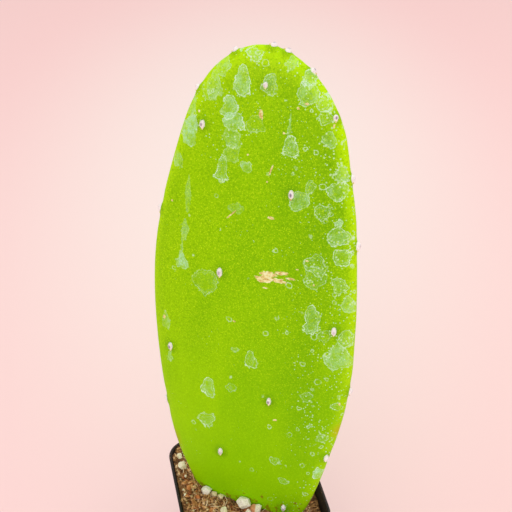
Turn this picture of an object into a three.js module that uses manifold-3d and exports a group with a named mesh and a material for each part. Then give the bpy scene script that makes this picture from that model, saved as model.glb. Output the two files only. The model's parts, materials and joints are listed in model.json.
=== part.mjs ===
// A potted paddle cactus: one upright cactus pad, rooted in potting mix in a small square nursery pot.
// Millimetres, +Z up. The origin is the centre of the pot's foot, on the surface that the pot stands on,
// and the pot's sides run along X and Y. The pad's front face looks towards -Y, turned a little to -X.
import * as THREE from "three";
import { mergeVertices } from "three/addons/utils/BufferGeometryUtils.js";
import Module from "manifold-3d";

const wasm = await Module();
wasm.setup();
const { degToRad, lerp, clamp, smoothstep } = THREE.MathUtils;

// ---- Driving dimensions -------------------------------------------------------------------------

// Pot: thin moulded walls that taper to the foot, with a stacking band and a rolled lip at the rim.
const potTopWidth = 63; // across the outside of the band, under the lip
const potFootWidth = 46; // across the outside of the wall at the foot
const potHeight = 62;
const potTopCorner = 9; // outside corner radius at the rim
const potFootCorner = 6;
const potWall = 0.7;
const bandHeight = 10.5;
const bandStep = 0.7; // how far the band stands out from the wall below it
const bandLedge = 0.6; // height over which the wall steps out to the band
const lipRadius = 0.5;
const footChamfer = 0.6;
const floorThickness = 1.2;
const notchWidth = 12; // drainage notch in the middle of each bottom edge
const notchHeight = 3;
const notchDepth = 3.5; // how far the notch runs in under the floor's edge
const drainDiameter = 6.5; // hole near each corner of the floor
const drainMargin = 2.5; // from a hole to the inside of the walls

// Potting mix
const soilDrop = 4.4; // below the rim, at the middle
const soilFallX = 6.2; // how much lower it lies at the +X wall than at the -X wall
const soilFallY = 1.2; // how much lower it lies at the -Y wall than at the +Y wall
const soilBump = 0.8; // height of its lumps
const clearance = 0.35; // gap that every piece keeps to its neighbour

// Pad
const padWidth = 86.5;
const padLength = 226.5;
const padThickness = 15;
const padWidestAt = 0.53; // share of the length, from the base
const padTipThinning = 0.3; // share of the thickness lost between the base and the tip
const padBow = 4; // how far the base and tip lie behind the middle
const padBuried = 24; // length of the pad below the surface of the mix
const padForward = 5; // from the middle of the pot to the pad's axis at the surface of the mix, towards -Y
const padAside = 2.3; // the same, towards -X
const padLean = 10; // degrees, backwards
const padSway = -1.2; // degrees, towards +X
const padTurn = -32; // degrees, about +Z
const rimSquareness = 2.4; // superellipse power of the cross-section
const tipSquareness = 3; // the same along the length
const baseSpan = 0.4; // share of the length over which the pad grows from its base to its full width
const basePerPot = 1.373; // width that the base's outline is drawn to, for each unit of the pot's width

// Outline of the pad as a share of a plain ellipse, at equal steps from the base to the tip.
const leftFullness = [0.9, 0.9, 0.965, 0.975, 0.985, 1.0, 1.01, 1.0, 1.0, 1.06, 1.15];
const rightFullness = [1.1, 1.04, 1.0, 1.01, 1.015, 0.995, 0.985, 1.0, 1.025, 1.11, 1.12];

// Roots
const rootCount = 7;
const rootThickness = 2.2; // where a root leaves the pad
const rootTipThickness = 0.9;
const rootStart = 5; // how far inside the pad's base a root begins
const rootSpread = 0.7; // share of the half width of the mix that the longest root reaches
const rootDepth = 0.75; // share of the depth of the mix that the deepest root reaches

// Areoles: felted tufts of wool. A place on a face is [share of the height above the mix, share of the
// half width towards +X]; along the edges it is the first share alone.
const tuftWidth = 2.3;
const tuftHeight = 4.2;
const tuftBulge = 1.3;
const frontAreoles = [
  [0.933, 0.06],
  [0.843, -0.72],
  [0.888, 0.96],
  [0.737, 0.39],
  [0.553, -0.29],
  [0.357, -0.82],
  [0.469, 0.82],
  [0.284, 0.26],
  [0.128, -0.3],
  [0.161, 0.97],
  [0.012, 0.67],
];
const backAreoles = [
  [0.89, -0.3],
  [0.81, 0.5],
  [0.7, -0.72],
  [0.63, 0.08],
  [0.51, 0.74],
  [0.44, -0.3],
  [0.32, 0.3],
  [0.25, -0.72],
  [0.13, -0.1],
  [0.105, 0.7],
];
const leftEdgeAreoles = [0.983, 0.905, 0.653, 0.21];
const rightEdgeAreoles = [0.9994, 0.993, 0.963, 0.776, 0.646, 0.329];

// Grains of perlite that lie along the pad's front, each [share of the pad's half width towards +X, gap
// to the pad's skin, size]. A grain with a gap below zero leans on the pad.
const perliteByPad = [
  [-0.72, -0.4, 5.0],
  [0.06, -0.8, 5.6],
  [0.27, -0.4, 5.0],
  [0.17, 2.6, 3.0],
  [-0.56, -0.2, 2.9],
  [-0.42, -0.2, 2.9],
];
// The places of the other loose pieces are [X, Y] as shares of the half width between the walls.
// Perlite: place, size.
const perlite = [
  [-0.9, 0.52, 3.6],
  [-0.9, 0.76, 3.0],
  [-0.74, 0.87, 3.2],
  [-0.43, -0.4, 3.4],
  [-0.7, -0.55, 2.8],
  [0.55, 0.35, 3.2],
  [0.08, 0.6, 2.6],
  [-0.35, 0.75, 2.8],
];
// Bark: place, length, width, thickness, heading in degrees.
const bark = [
  [-0.27, -0.62, 8, 3.2, 1.6, 25],
  [-0.82, -0.2, 6.5, 2.6, 1.4, 100],
  [0.3, 0.15, 9, 3.6, 1.8, -20],
  [0.78, 0.0, 6, 3, 1.5, 80],
  [-0.1, 0.35, 6.5, 2.8, 1.5, 50],
  [0.33, 0.6, 7, 2.6, 1.3, 10],
  [-0.55, -0.82, 7, 2.4, 1.3, -15],
];
// Coir: a straw of husk from one place to another, and its thickness.
const coir = [
  [-0.86, -0.42, -0.5, -0.26, 0.8],
  [0.05, 0.85, 0.62, 0.62, 0.9],
  [0.5, 0.55, 0.85, 0.3, 0.8],
];
const edgeStrawLength = 12; // of the straw that lies past the pad's -X edge
const edgeStrawThickness = 0.9;

// ---- Shapes -------------------------------------------------------------------------------------

// A repeatable number from 0 to 1 for a piece's number and a direction.
function jitter(a, b = 0) {
  const s = Math.sin(a * 127.1 + b * 311.7) * 43758.5453;
  return s - Math.floor(s);
}

// A smooth curve through a list of values at equal steps.
function valueAt(list, share) {
  const at = clamp(share, 0, 1) * (list.length - 1);
  const i = Math.min(Math.floor(at), list.length - 2);
  const before = list[Math.max(i - 1, 0)];
  const after = list[Math.min(i + 2, list.length - 1)];
  const t = at - i;
  const slope0 = (list[i + 1] - before) / 2;
  const slope1 = (after - list[i]) / 2;
  const rise = list[i + 1] - list[i];
  return list[i] + t * (slope0 + t * (3 * rise - 2 * slope0 - slope1 + t * (slope0 + slope1 - 2 * rise)));
}

function geometryOf(points, triangles) {
  const geometry = new THREE.BufferGeometry();
  const numbers = points.flatMap((p) => [p.x, p.y, p.z]);
  geometry.setAttribute("position", new THREE.Float32BufferAttribute(numbers, 3));
  geometry.setIndex(triangles.flat());
  return geometry;
}

// A closed skin over rings of points, each ring with as many points as the next, counter-clockwise
// about the way that they advance. The first and last rings are closed on their middle points.
function skin(rings) {
  const count = rings[0].length;
  const middle = (ring) => ring.reduce((sum, p) => sum.add(p), new THREE.Vector3()).divideScalar(count);
  const points = [...rings.flat(), middle(rings[0]), middle(rings.at(-1))];
  const start = points.length - 2;
  const end = points.length - 1;
  const last = (rings.length - 1) * count;
  const triangles = [];
  for (let i = 0; i < count; i++) {
    const j = (i + 1) % count;
    triangles.push([start, j, i], [end, last + i, last + j]);
    for (let r = 0; r < rings.length - 1; r++) {
      const a = r * count;
      const b = a + count;
      triangles.push([a + i, a + j, b + j], [a + i, b + j, b + i]);
    }
  }
  return geometryOf(points, triangles);
}

function roundedSquare(width, radius, z) {
  const cornerSteps = 6;
  const ring = [];
  for (let corner = 0; corner < 4; corner++) {
    const signX = corner === 0 || corner === 3 ? 1 : -1;
    const signY = corner < 2 ? 1 : -1;
    for (let step = 0; step <= cornerSteps; step++) {
      const angle = (corner + step / cornerSteps) * (Math.PI / 2);
      const x = signX * (width / 2 - radius) + radius * Math.cos(angle);
      const y = signY * (width / 2 - radius) + radius * Math.sin(angle);
      ring.push(new THREE.Vector3(x, y, z));
    }
  }
  return ring;
}

// A tube along a curve, thinning to its end. A grown one is larger all round and at both ends.
function taperedTube(curve, startRadius, endRadius, grow, steps) {
  const sides = 6;
  const frames = curve.computeFrenetFrames(steps);
  const ringAt = (i, ahead) => {
    const radius = lerp(startRadius, endRadius, i / steps) + grow;
    const middle = curve.getPointAt(i / steps).addScaledVector(frames.tangents[i], ahead);
    return Array.from({ length: sides }, (_, k) => {
      const angle = (k / sides) * 2 * Math.PI;
      const offset = frames.normals[i].clone().multiplyScalar(Math.cos(angle));
      offset.addScaledVector(frames.binormals[i], Math.sin(angle));
      return middle.clone().addScaledVector(offset, radius);
    });
  };
  const rings = [];
  for (let i = 0; i <= steps; i++) {
    rings.push(ringAt(i, i === 0 ? -grow : i === steps ? grow : 0));
  }
  return skin(rings);
}

// ---- Solids, for the cuts and joins ---------------------------------------------------------------

function solidOf(geometry, matrix = new THREE.Matrix4()) {
  const bare = new THREE.BufferGeometry();
  bare.setAttribute("position", geometry.getAttribute("position").clone());
  bare.setIndex(geometry.index ?? [...Array(geometry.getAttribute("position").count).keys()]);
  const merged = mergeVertices(bare.applyMatrix4(matrix), 1e-3);
  const vertProperties = new Float32Array(merged.getAttribute("position").array);
  const triVerts = new Uint32Array(merged.index.array);
  return new wasm.Manifold(new wasm.Mesh({ numProp: 3, vertProperties, triVerts }));
}

function geometryFrom(solid) {
  const mesh = solid.getMesh();
  const geometry = new THREE.BufferGeometry();
  geometry.setAttribute("position", new THREE.BufferAttribute(new Float32Array(mesh.vertProperties), 3));
  geometry.setIndex(new THREE.BufferAttribute(new Uint32Array(mesh.triVerts), 1));
  return geometry;
}

// ---- Materials ----------------------------------------------------------------------------------

const finish = (color, roughness) => new THREE.MeshStandardMaterial({ color, roughness, metalness: 0 });
const blackPlastic = finish(0x17181a, 0.45);
const padSkinGreen = finish(0x8fc400, 0.5);
const wool = finish(0xe9dfe2, 0.95);
const pottingMix = finish(0x6b4630, 0.95);
const perliteWhite = finish(0xeeeedd, 0.85);
const barkBrown = finish(0x8a5a36, 0.85);
const coirTan = finish(0xb08a5c, 0.85);

function addMesh(parent, name, geometry, material) {
  const mesh = new THREE.Mesh(geometry, material);
  mesh.name = name;
  parent.add(mesh);
  return mesh;
}

const group = new THREE.Group();

// ---- Pot ----------------------------------------------------------------------------------------

const bandFoot = potHeight - bandHeight;
const wallTopWidth = potTopWidth - 2 * bandStep; // where the tapered wall would meet the rim

// A ring that stands in from the outside of the tapered wall, leaving out the band.
function wallRing(z, inset) {
  const width = lerp(potFootWidth, wallTopWidth, z / potHeight);
  const corner = lerp(potFootCorner, potTopCorner, z / potHeight);
  return roundedSquare(width - 2 * inset, corner - inset, z);
}

// How far the inner wall stands in from the outside of the tapered wall. It follows the band outwards.
const insideInset = (z) => potWall - bandStep * clamp((z - bandFoot) / bandLedge, 0, 1);

// Half the width between the inner walls.
const halfRoomAt = (z) => lerp(potFootWidth, wallTopWidth, z / potHeight) / 2 - insideInset(z);

// A ring that keeps a gap to the inner wall.
const innerRing = (z, gap) => wallRing(z, insideInset(z) + gap);

function potGeometry() {
  const lipSteps = 6;
  const lip = [];
  for (let step = 0; step <= lipSteps; step++) {
    const angle = (step / lipSteps - 0.5) * Math.PI;
    const z = potHeight - lipRadius + lipRadius * Math.sin(angle);
    lip.push(wallRing(z, -bandStep - lipRadius * Math.cos(angle)));
  }
  const foot = [wallRing(0, footChamfer), wallRing(footChamfer, 0)];
  const outside = skin([...foot, wallRing(bandFoot, 0), wallRing(bandFoot + bandLedge, -bandStep), ...lip]);
  const insideRings = [floorThickness, bandFoot, bandFoot + bandLedge, potHeight + 1];
  const inside = skin(insideRings.map((z) => innerRing(z, 0)));
  let pot = solidOf(outside).subtract(solidOf(inside));
  const notch = new THREE.BoxGeometry(notchWidth, 2 * notchDepth, 2 * notchHeight);
  const drainReach = halfRoomAt(0) - drainMargin - drainDiameter / 2;
  const drain = new THREE.CylinderGeometry(drainDiameter / 2, drainDiameter / 2, 4 * floorThickness, 20);
  drain.rotateX(Math.PI / 2);
  for (let side = 0; side < 4; side++) {
    const turn = new THREE.Matrix4().makeRotationZ((side * Math.PI) / 2);
    const atEdge = new THREE.Matrix4().makeTranslation(0, potFootWidth / 2, 0);
    const atCorner = new THREE.Matrix4().makeTranslation(drainReach, drainReach, 0);
    pot = pot.subtract(solidOf(notch, turn.clone().multiply(atEdge)));
    pot = pot.subtract(solidOf(drain, turn.clone().multiply(atCorner)));
  }
  return geometryFrom(pot);
}

addMesh(group, "nursery_pot", potGeometry(), blackPlastic);

// ---- Pad ----------------------------------------------------------------------------------------

const soilLevel = potHeight - soilDrop;
const padMiddle = padLength * padWidestAt - padBuried; // height of the widest point above the mix

// The pad's own frame has its origin on the pad's axis at the surface of the mix.
const plant = new THREE.Group();
plant.position.set(-padAside, -padForward, soilLevel);
plant.rotation.set(degToRad(-padLean), degToRad(padSway), degToRad(padTurn), "ZYX");
plant.updateMatrixWorld(true);
const toPlant = plant.matrixWorld.clone().invert();
group.add(plant);

// A point on the pad's skin. along runs from -1 at the base to 1 at the tip; angle is 0 at the +X edge
// and a quarter turn on the front.
function padPoint(along, angle, grow = 0) {
  const reach = along < 0 ? padLength * padWidestAt : padLength * (1 - padWidestAt);
  const cos = Math.cos(angle);
  const sin = Math.sin(angle);
  const lengthShare = along < 0 ? (1 + along) * padWidestAt : padWidestAt + along * (1 - padWidestAt);
  const outlineWidth = lerp(basePerPot * potTopWidth, padWidth, smoothstep(lengthShare, 0, baseSpan));
  const fullness = valueAt(cos > 0 ? rightFullness : leftFullness, (along + 1) / 2);
  const halfWidth = (outlineWidth / 2 + grow) * Math.sqrt(Math.max(0, 1 - along * along)) * fullness;
  const thinning = 1 - (padTipThinning * (along + 1)) / 2;
  const closing = Math.cbrt(Math.max(0, 1 - Math.abs(along) ** tipSquareness));
  const halfThickness = (padThickness / 2 + grow) * thinning * closing;
  const x = halfWidth * Math.sign(cos) * Math.abs(cos) ** (2 / rimSquareness);
  const y = -halfThickness * Math.sign(sin) * Math.abs(sin) ** (2 / rimSquareness);
  return new THREE.Vector3(x, y + padBow * along * along, padMiddle + along * (reach + grow));
}

function padSkin(grow) {
  const rows = 36;
  const sides = 30;
  const rings = [];
  for (let row = 1; row < rows; row++) {
    const along = -Math.cos((row / rows) * Math.PI);
    const ring = [];
    for (let k = 0; k < sides; k++) ring.push(padPoint(along, -(k / sides) * 2 * Math.PI, grow));
    rings.push(ring);
  }
  return skin(rings);
}

// Each root starts inside the pad's base and runs outwards and down through the mix.
function rootCurve(number) {
  const heading = (number / rootCount) * 2 * Math.PI + 0.4 * jitter(number, 1);
  const outwards = new THREE.Vector3(Math.cos(heading), Math.sin(heading), 0);
  const reach = rootSpread * (0.75 + 0.25 * jitter(number, 2));
  const depth = rootDepth * (0.6 + 0.4 * jitter(number, 3));
  const base = new THREE.Vector3(0, 0, -padBuried).applyMatrix4(plant.matrixWorld);
  const start = new THREE.Vector3(0, 0, rootStart - padBuried).applyMatrix4(plant.matrixWorld);
  const tipZ = lerp(base.z, floorThickness, depth);
  const tip = outwards.multiplyScalar(reach * halfRoomAt(tipZ)).setZ(tipZ);
  const bend = base.clone().lerp(tip, 0.45).setZ(lerp(base.z, tipZ, 0.3));
  const points = [start, base.clone().lerp(bend, 0.2), bend, tip];
  return new THREE.CatmullRomCurve3(points.map((p) => p.applyMatrix4(toPlant)));
}

function padSolid(grow) {
  let solid = solidOf(padSkin(grow));
  for (let number = 0; number < rootCount; number++) {
    const tube = taperedTube(rootCurve(number), rootThickness / 2, rootTipThickness / 2, grow, 10);
    solid = solid.add(solidOf(tube));
  }
  return solid;
}

addMesh(plant, "cactus_pad", geometryFrom(padSolid(0)), padSkinGreen);

// ---- Areoles ------------------------------------------------------------------------------------

// A dome with a flat back on the local XY plane, bulging along +Z.
function tuftGeometry() {
  const sides = 10;
  const rings = [];
  for (const [share, height] of [[0.9, 0], [1, 0.25], [0.8, 0.75], [0.4, 0.97]]) {
    const ring = [];
    for (let k = 0; k < sides; k++) {
      const angle = (k / sides) * 2 * Math.PI;
      const x = (tuftWidth / 2) * share * Math.cos(angle);
      const y = (tuftHeight / 2) * share * Math.sin(angle);
      ring.push(new THREE.Vector3(x, y, height * tuftBulge));
    }
    rings.push(ring);
  }
  return skin(rings);
}

// The angle round the cross-section at which the skin lies at a share of the half width.
const angleAcross = (share) => Math.acos(Math.sign(share) * Math.abs(share) ** (rimSquareness / 2));

function placeTuft(name, heightShare, angle) {
  const fromWidest = heightShare * (padLength - padBuried) - padMiddle;
  const along = fromWidest / (padLength * (fromWidest < 0 ? padWidestAt : 1 - padWidestAt));
  const step = 1e-3;
  const at = padPoint(along, angle);
  const up = padPoint(along + step, angle).sub(padPoint(along - step, angle)).normalize();
  const round = padPoint(along, angle - step).sub(padPoint(along, angle + step));
  const out = new THREE.Vector3().crossVectors(round, up).normalize();
  const side = new THREE.Vector3().crossVectors(up, out);
  const tuft = addMesh(plant, name, tuftGeometry(), wool);
  tuft.position.copy(at).addScaledVector(out, clearance);
  tuft.quaternion.setFromRotationMatrix(new THREE.Matrix4().makeBasis(side, up, out));
}

frontAreoles.forEach(([share, across], i) => placeTuft(`areole_front_${i + 1}`, share, angleAcross(across)));
backAreoles.forEach(([share, across], i) => placeTuft(`areole_back_${i + 1}`, share, -angleAcross(across)));
leftEdgeAreoles.forEach((share, i) => placeTuft(`areole_left_edge_${i + 1}`, share, Math.PI));
rightEdgeAreoles.forEach((share, i) => placeTuft(`areole_right_edge_${i + 1}`, share, 0));

// ---- Potting mix and what lies on it --------------------------------------------------------------

function soilHeight(x, y) {
  const lumps = Math.sin(0.55 * x + 3.5) * Math.cos(0.48 * y + 4.8) + 0.6 * Math.sin(0.9 * y + 0.4 * x + 5.7);
  return soilLevel + (soilFallY * y - soilFallX * x) / potTopWidth + soilBump * lumps;
}

// The edge follows the taper of the wall up to the height of the surface there.
function soilSkin() {
  const level = innerRing(soilLevel, clearance);
  const edge = level.map((p, k) => innerRing(soilHeight(p.x, p.y), clearance)[k]);
  const below = [floorThickness + clearance, bandFoot, bandFoot + bandLedge];
  const rings = [...below.map((z) => innerRing(z, clearance)), edge];
  for (const share of [0.94, 0.86, 0.76, 0.66, 0.56, 0.46, 0.36, 0.26, 0.16, 0.07]) {
    const ring = level.map((p) => p.clone().multiplyScalar(share));
    ring.forEach((p) => p.setZ(soilHeight(p.x, p.y)));
    rings.push(ring);
  }
  return skin(rings);
}

// A rough grain: a ball of flat facets, stretched and knocked about.
function grainGeometry(size, number, grow) {
  const ball = new THREE.BufferGeometry();
  ball.setAttribute("position", new THREE.IcosahedronGeometry(1, 1).getAttribute("position").clone());
  const geometry = mergeVertices(ball);
  const position = geometry.getAttribute("position");
  const [wide, deep, tall] = [0.85, 0.8, 0.7].map((least, axis) => least + 0.25 * jitter(number, axis));
  for (let i = 0; i < position.count; i++) {
    const radius = (size / 2) * (0.88 + 0.24 * jitter(number, i + 10));
    const x = position.getX(i) * (wide * radius + grow);
    const y = position.getY(i) * (deep * radius + grow);
    const z = position.getZ(i) * (tall * radius + grow);
    position.setXYZ(i, x, y, z);
  }
  return geometry;
}

// A splinter of bark along X: flat, and thinner towards its ends.
function chipGeometry(length, width, thickness, grow) {
  const section = [[1, 0.3], [0.5, 1], [-0.6, 1], [-1, -0.2], [-0.4, -1], [0.7, -1]];
  const rings = [];
  for (const [at, share] of [[-0.5, 0.45], [-0.3, 0.95], [0.1, 1], [0.5, 0.6]]) {
    const halfWidth = (width / 2) * share + grow;
    const halfThickness = (thickness / 2) * share + grow;
    const x = at * (length + 2 * grow);
    rings.push(section.map(([a, b]) => new THREE.Vector3(x, a * halfWidth, b * halfThickness)));
  }
  return skin(rings);
}

// Everything that the mix and the pieces laid on it must keep clear of, grown by the clearance.
let taken = solidOf(geometryFrom(padSolid(clearance)), plant.matrixWorld);
const halfRoom = halfRoomAt(soilLevel);
const roomHeights = [floorThickness, bandFoot, bandFoot + bandLedge, 1.5 * potHeight];
const room = solidOf(skin(roomHeights.map((z) => innerRing(z, clearance))));

const grainRise = 0.3; // height of a grain's middle above the mix, as a share of its size

// Lays a piece on the mix. It gives way to the pad, to the wall and to the pieces laid before it, and
// where that parts it, the larger part stays.
function layOnMix(name, shape, matrix, material) {
  const parts = solidOf(shape(0), matrix).subtract(taken).intersect(room).decompose();
  const [largest] = parts.sort((a, b) => b.volume() - a.volume());
  taken = taken.add(solidOf(shape(clearance), matrix));
  addMesh(group, name, geometryFrom(largest), material);
}

// Where the pad's skin passes through the surface of the mix, in the pot's frame.
function padAtMix(angle) {
  return padPoint(-padMiddle / (padLength * padWidestAt), angle).applyMatrix4(plant.matrixWorld);
}

function layGrain(number, x, y, size) {
  const at = new THREE.Matrix4().makeTranslation(x, y, soilHeight(x, y) + grainRise * size);
  layOnMix(`perlite_${number}`, (grow) => grainGeometry(size, number, grow), at, perliteWhite);
}

perliteByPad.forEach(([across, gap, size], i) => {
  const front = new THREE.Vector3(0, -1, 0).transformDirection(plant.matrixWorld).setZ(0).normalize();
  const { x, y } = padAtMix(angleAcross(across)).addScaledVector(front, gap + size / 2);
  layGrain(i + 1, x, y, size);
});
perlite.forEach(([shareX, shareY, size], i) => {
  layGrain(perliteByPad.length + i + 1, shareX * halfRoom, shareY * halfRoom, size);
});

bark.forEach(([shareX, shareY, length, width, thickness, heading], i) => {
  const [x, y] = [shareX * halfRoom, shareY * halfRoom];
  const at = new THREE.Matrix4().makeTranslation(x, y, soilHeight(x, y) + 0.2 * thickness);
  const tilt = new THREE.Euler(0.3 - 0.6 * jitter(i, 1), 0.2 - 0.4 * jitter(i, 2), degToRad(heading), "ZYX");
  at.multiply(new THREE.Matrix4().makeRotationFromEuler(tilt));
  layOnMix(`bark_${i + 1}`, (grow) => chipGeometry(length, width, thickness, grow), at, barkBrown);
});

function layStraw(number, from, to, thickness) {
  const points = [0, 0.5, 1].map((share) => {
    const { x, y } = from.clone().lerp(to, share);
    return new THREE.Vector3(x, y, soilHeight(x, y) + thickness * (0.3 + share * jitter(number, 4)));
  });
  const curve = new THREE.CatmullRomCurve3(points);
  const shape = (grow) => taperedTube(curve, thickness / 2, thickness / 4, grow, 6);
  layOnMix(`coir_${number}`, shape, new THREE.Matrix4(), coirTan);
}

const padEdge = padAtMix(Math.PI);
const beside = padEdge.x - 2 * edgeStrawThickness - clearance;
const edgeStrawStart = new THREE.Vector2(beside, padEdge.y + edgeStrawLength / 2);
const edgeStrawEnd = new THREE.Vector2(beside, padEdge.y - edgeStrawLength / 2);
layStraw(1, edgeStrawStart, edgeStrawEnd, edgeStrawThickness);
coir.forEach(([fromX, fromY, toX, toY, thickness], i) => {
  const from = new THREE.Vector2(fromX, fromY).multiplyScalar(halfRoom);
  const to = new THREE.Vector2(toX, toY).multiplyScalar(halfRoom);
  layStraw(i + 2, from, to, thickness);
});

addMesh(group, "potting_mix", geometryFrom(solidOf(soilSkin()).subtract(taken)), pottingMix);

export default group;
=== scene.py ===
import json
import math
from functools import partial

import bmesh
import bpy
import numpy as np
from mathutils import Matrix, Vector, noise
from mathutils.bvhtree import BVHTree

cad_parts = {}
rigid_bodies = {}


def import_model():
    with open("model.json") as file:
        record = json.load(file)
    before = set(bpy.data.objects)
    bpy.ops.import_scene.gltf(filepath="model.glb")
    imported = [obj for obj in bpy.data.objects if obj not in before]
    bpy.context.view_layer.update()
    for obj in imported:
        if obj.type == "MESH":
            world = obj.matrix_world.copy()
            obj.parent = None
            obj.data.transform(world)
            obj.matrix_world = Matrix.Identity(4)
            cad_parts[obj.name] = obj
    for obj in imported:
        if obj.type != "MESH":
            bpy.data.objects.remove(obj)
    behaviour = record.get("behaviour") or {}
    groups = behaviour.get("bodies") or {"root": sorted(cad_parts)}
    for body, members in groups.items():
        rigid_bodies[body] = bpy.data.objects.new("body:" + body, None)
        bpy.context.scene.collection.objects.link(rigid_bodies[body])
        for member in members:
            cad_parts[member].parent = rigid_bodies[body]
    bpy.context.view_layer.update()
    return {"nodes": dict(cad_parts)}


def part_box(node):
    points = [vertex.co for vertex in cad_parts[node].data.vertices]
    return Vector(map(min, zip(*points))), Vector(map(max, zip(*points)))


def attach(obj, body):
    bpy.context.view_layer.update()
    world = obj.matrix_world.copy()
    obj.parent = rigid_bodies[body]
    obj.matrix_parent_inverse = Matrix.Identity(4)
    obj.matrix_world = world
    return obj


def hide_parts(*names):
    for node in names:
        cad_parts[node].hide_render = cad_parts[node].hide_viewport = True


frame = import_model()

# A paddle cactus pad in a small square nursery pot. Sizes in the settings are millimetres.
mm = 0.001
scene = bpy.context.scene
scene.view_settings.view_transform = "Standard"  # keeps the lime green of the skin


def linear(hexColour):
    channels = [int(hexColour[i : i + 2], 16) / 255 for i in (1, 3, 5)]
    return [c / 12.92 if c <= 0.04045 else ((c + 0.055) / 1.055) ** 2.4 for c in channels] + [1.0]


def grain(size):
    # texture scale, on coordinates in metres, for features this many millimetres across
    return 1 / (size * mm)


def feed(node, inputs):
    # inputs: values, sockets or nodes, by name, by number, or in order
    pairs = inputs.items() if isinstance(inputs, dict) else enumerate(inputs)
    for key, value in pairs:
        if isinstance(value, bpy.types.Node):
            value = value.outputs[0]
        if isinstance(value, bpy.types.NodeSocket):
            node.id_data.links.new(value, node.inputs[key])
        elif value is not None:
            node.inputs[key].default_value = value


def addNode(tree, kind, settings=None, inputs=()):
    # a kind without "Node" in it is a shader node; settings are properties, or an operation's name
    node = tree.nodes.new(kind if "Node" in kind else "ShaderNode" + kind)
    if isinstance(settings, str):
        settings = {"operation": settings}
    for key, value in (settings or {}).items():
        if key == "stops":
            elements = node.color_ramp.elements
            while len(elements) < len(value):
                elements.new(0.5)
            for element, (at, colour) in zip(elements, value):
                element.position = at
                element.color = linear(colour) if isinstance(colour, str) else [colour] * 3 + [1]
        elif key == "bends":
            curve = node.mapping.curves[0]
            while len(curve.points) < len(value):
                curve.points.new(0.5, 0.5)
            for i, height in enumerate(value):
                curve.points[i].location = (i / (len(value) - 1), height)
            node.mapping.update()
        else:
            setattr(node, key, value)
    feed(node, inputs)
    return node


asColour = {"data_type": "RGBA"}
smoothly = {"interpolation_type": "SMOOTHSTEP"}


def newMaterial(name, shaderInputs):
    # also gives what adds its nodes, and the place on the object, which the textures are laid by
    material = bpy.data.materials.new(name)
    material.use_nodes = True
    material.node_tree.nodes.clear()
    add = partial(addNode, material.node_tree)
    shader = add("BsdfPrincipled", inputs=shaderInputs)
    add("OutputMaterial", inputs={"Surface": shader})
    return material, add, shader, add("TexCoord").outputs["Object"]


def newTree(name, inputs):
    # inputs: name -> (socket kind, default)
    tree = bpy.data.node_groups.new(name, "GeometryNodeTree")
    tree.interface.new_socket("Geometry", in_out="INPUT", socket_type="NodeSocketGeometry")
    for label, (kind, value) in inputs.items():
        socket = tree.interface.new_socket(label, in_out="INPUT", socket_type="NodeSocket" + kind)
        if value is not None:
            socket.default_value = value
    tree.interface.new_socket("Geometry", in_out="OUTPUT", socket_type="NodeSocketGeometry")
    add = partial(addNode, tree)
    return tree, add, add("NodeGroupInput").outputs


def newObject(name, mesh):
    piece = bpy.data.objects.new(name, mesh)
    scene.collection.objects.link(piece)
    return piece


def meshFrom(name, points, faces=()):
    mesh = bpy.data.meshes.new(name)
    mesh.from_pydata([tuple(p) for p in points], [], faces)
    mesh.update()
    return mesh


def plainMesh(holder, name):
    # the evaluated shape of an object as a new piece with no modifiers; the holder goes
    bpy.context.view_layer.update()
    graph = bpy.context.evaluated_depsgraph_get()
    evaluated = holder.evaluated_get(graph)
    mesh = bpy.data.meshes.new_from_object(evaluated, preserve_all_data_layers=True, depsgraph=graph)
    holder.modifiers.clear()
    bpy.data.objects.remove(holder)
    mesh.name = name
    return newObject(name, mesh)


def growTree(holder, tree, name, values):
    modifier = holder.modifiers.new(tree.name, "NODES")
    modifier.node_group = tree
    for item in tree.interface.items_tree:
        if item.item_type == "SOCKET" and item.in_out == "INPUT" and item.name in values:
            modifier[item.identifier] = values[item.name]
    return plainMesh(holder, name)


def smoothBelow(mesh, degrees, outward=False):
    # smooth shading, with a crease where faces meet at more than this angle
    work = bmesh.new()
    work.from_mesh(mesh)
    if outward:
        bmesh.ops.recalc_face_normals(work, faces=work.faces)
    for face in work.faces:
        face.smooth = True
    for edge in work.edges:
        edge.smooth = edge.calc_face_angle(0) < math.radians(degrees)
    work.to_mesh(mesh)
    work.free()


def keepFloats(mesh, name, values):
    values = np.asarray(values, np.float32)
    kind = "FLOAT_VECTOR" if values.ndim == 2 else "FLOAT"
    attribute = mesh.attributes.new(name, kind, "POINT")
    attribute.data.foreach_set("vector" if values.ndim == 2 else "value", values.ravel())


def pointsOf(mesh):
    points = np.zeros(len(mesh.vertices) * 3, np.float32)
    mesh.vertices.foreach_get("co", points)
    return points.reshape(-1, 3).astype(float)


def finishPiece(piece, slot, *nodes):
    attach(piece, "root")
    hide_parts(*nodes)
    piece.data.calc_loop_triangles()
    print(f"{piece.name}: {len(piece.data.loop_triangles)} triangles")


def ease(low, high, x):
    t = np.clip((x - low) / (high - low), 0, 1)
    return t * t * (3 - 2 * t)


camera = {
    "azimuth": -12.15,  # degrees round from the front of the pot
    "elevation": 35,
    "place": (-64.8, -319.1, 413.1),
    "lens": 73.8,
}
turn = math.radians(camera["azimuth"])
rise = math.radians(camera["elevation"])
back = Vector((math.sin(turn) * math.cos(rise), -math.cos(turn) * math.cos(rise), math.sin(rise)))
eye = bpy.data.objects.new("camera", bpy.data.cameras.new("camera"))
eye.data.lens = camera["lens"]
eye.data.sensor_width = 36
eye.data.clip_end = 50
eye.location = Vector(camera["place"]) * mm
eye.rotation_euler = back.to_track_quat("Z", "Y").to_euler()
scene.collection.objects.link(eye)
scene.camera = eye
print("camera placed")


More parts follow.
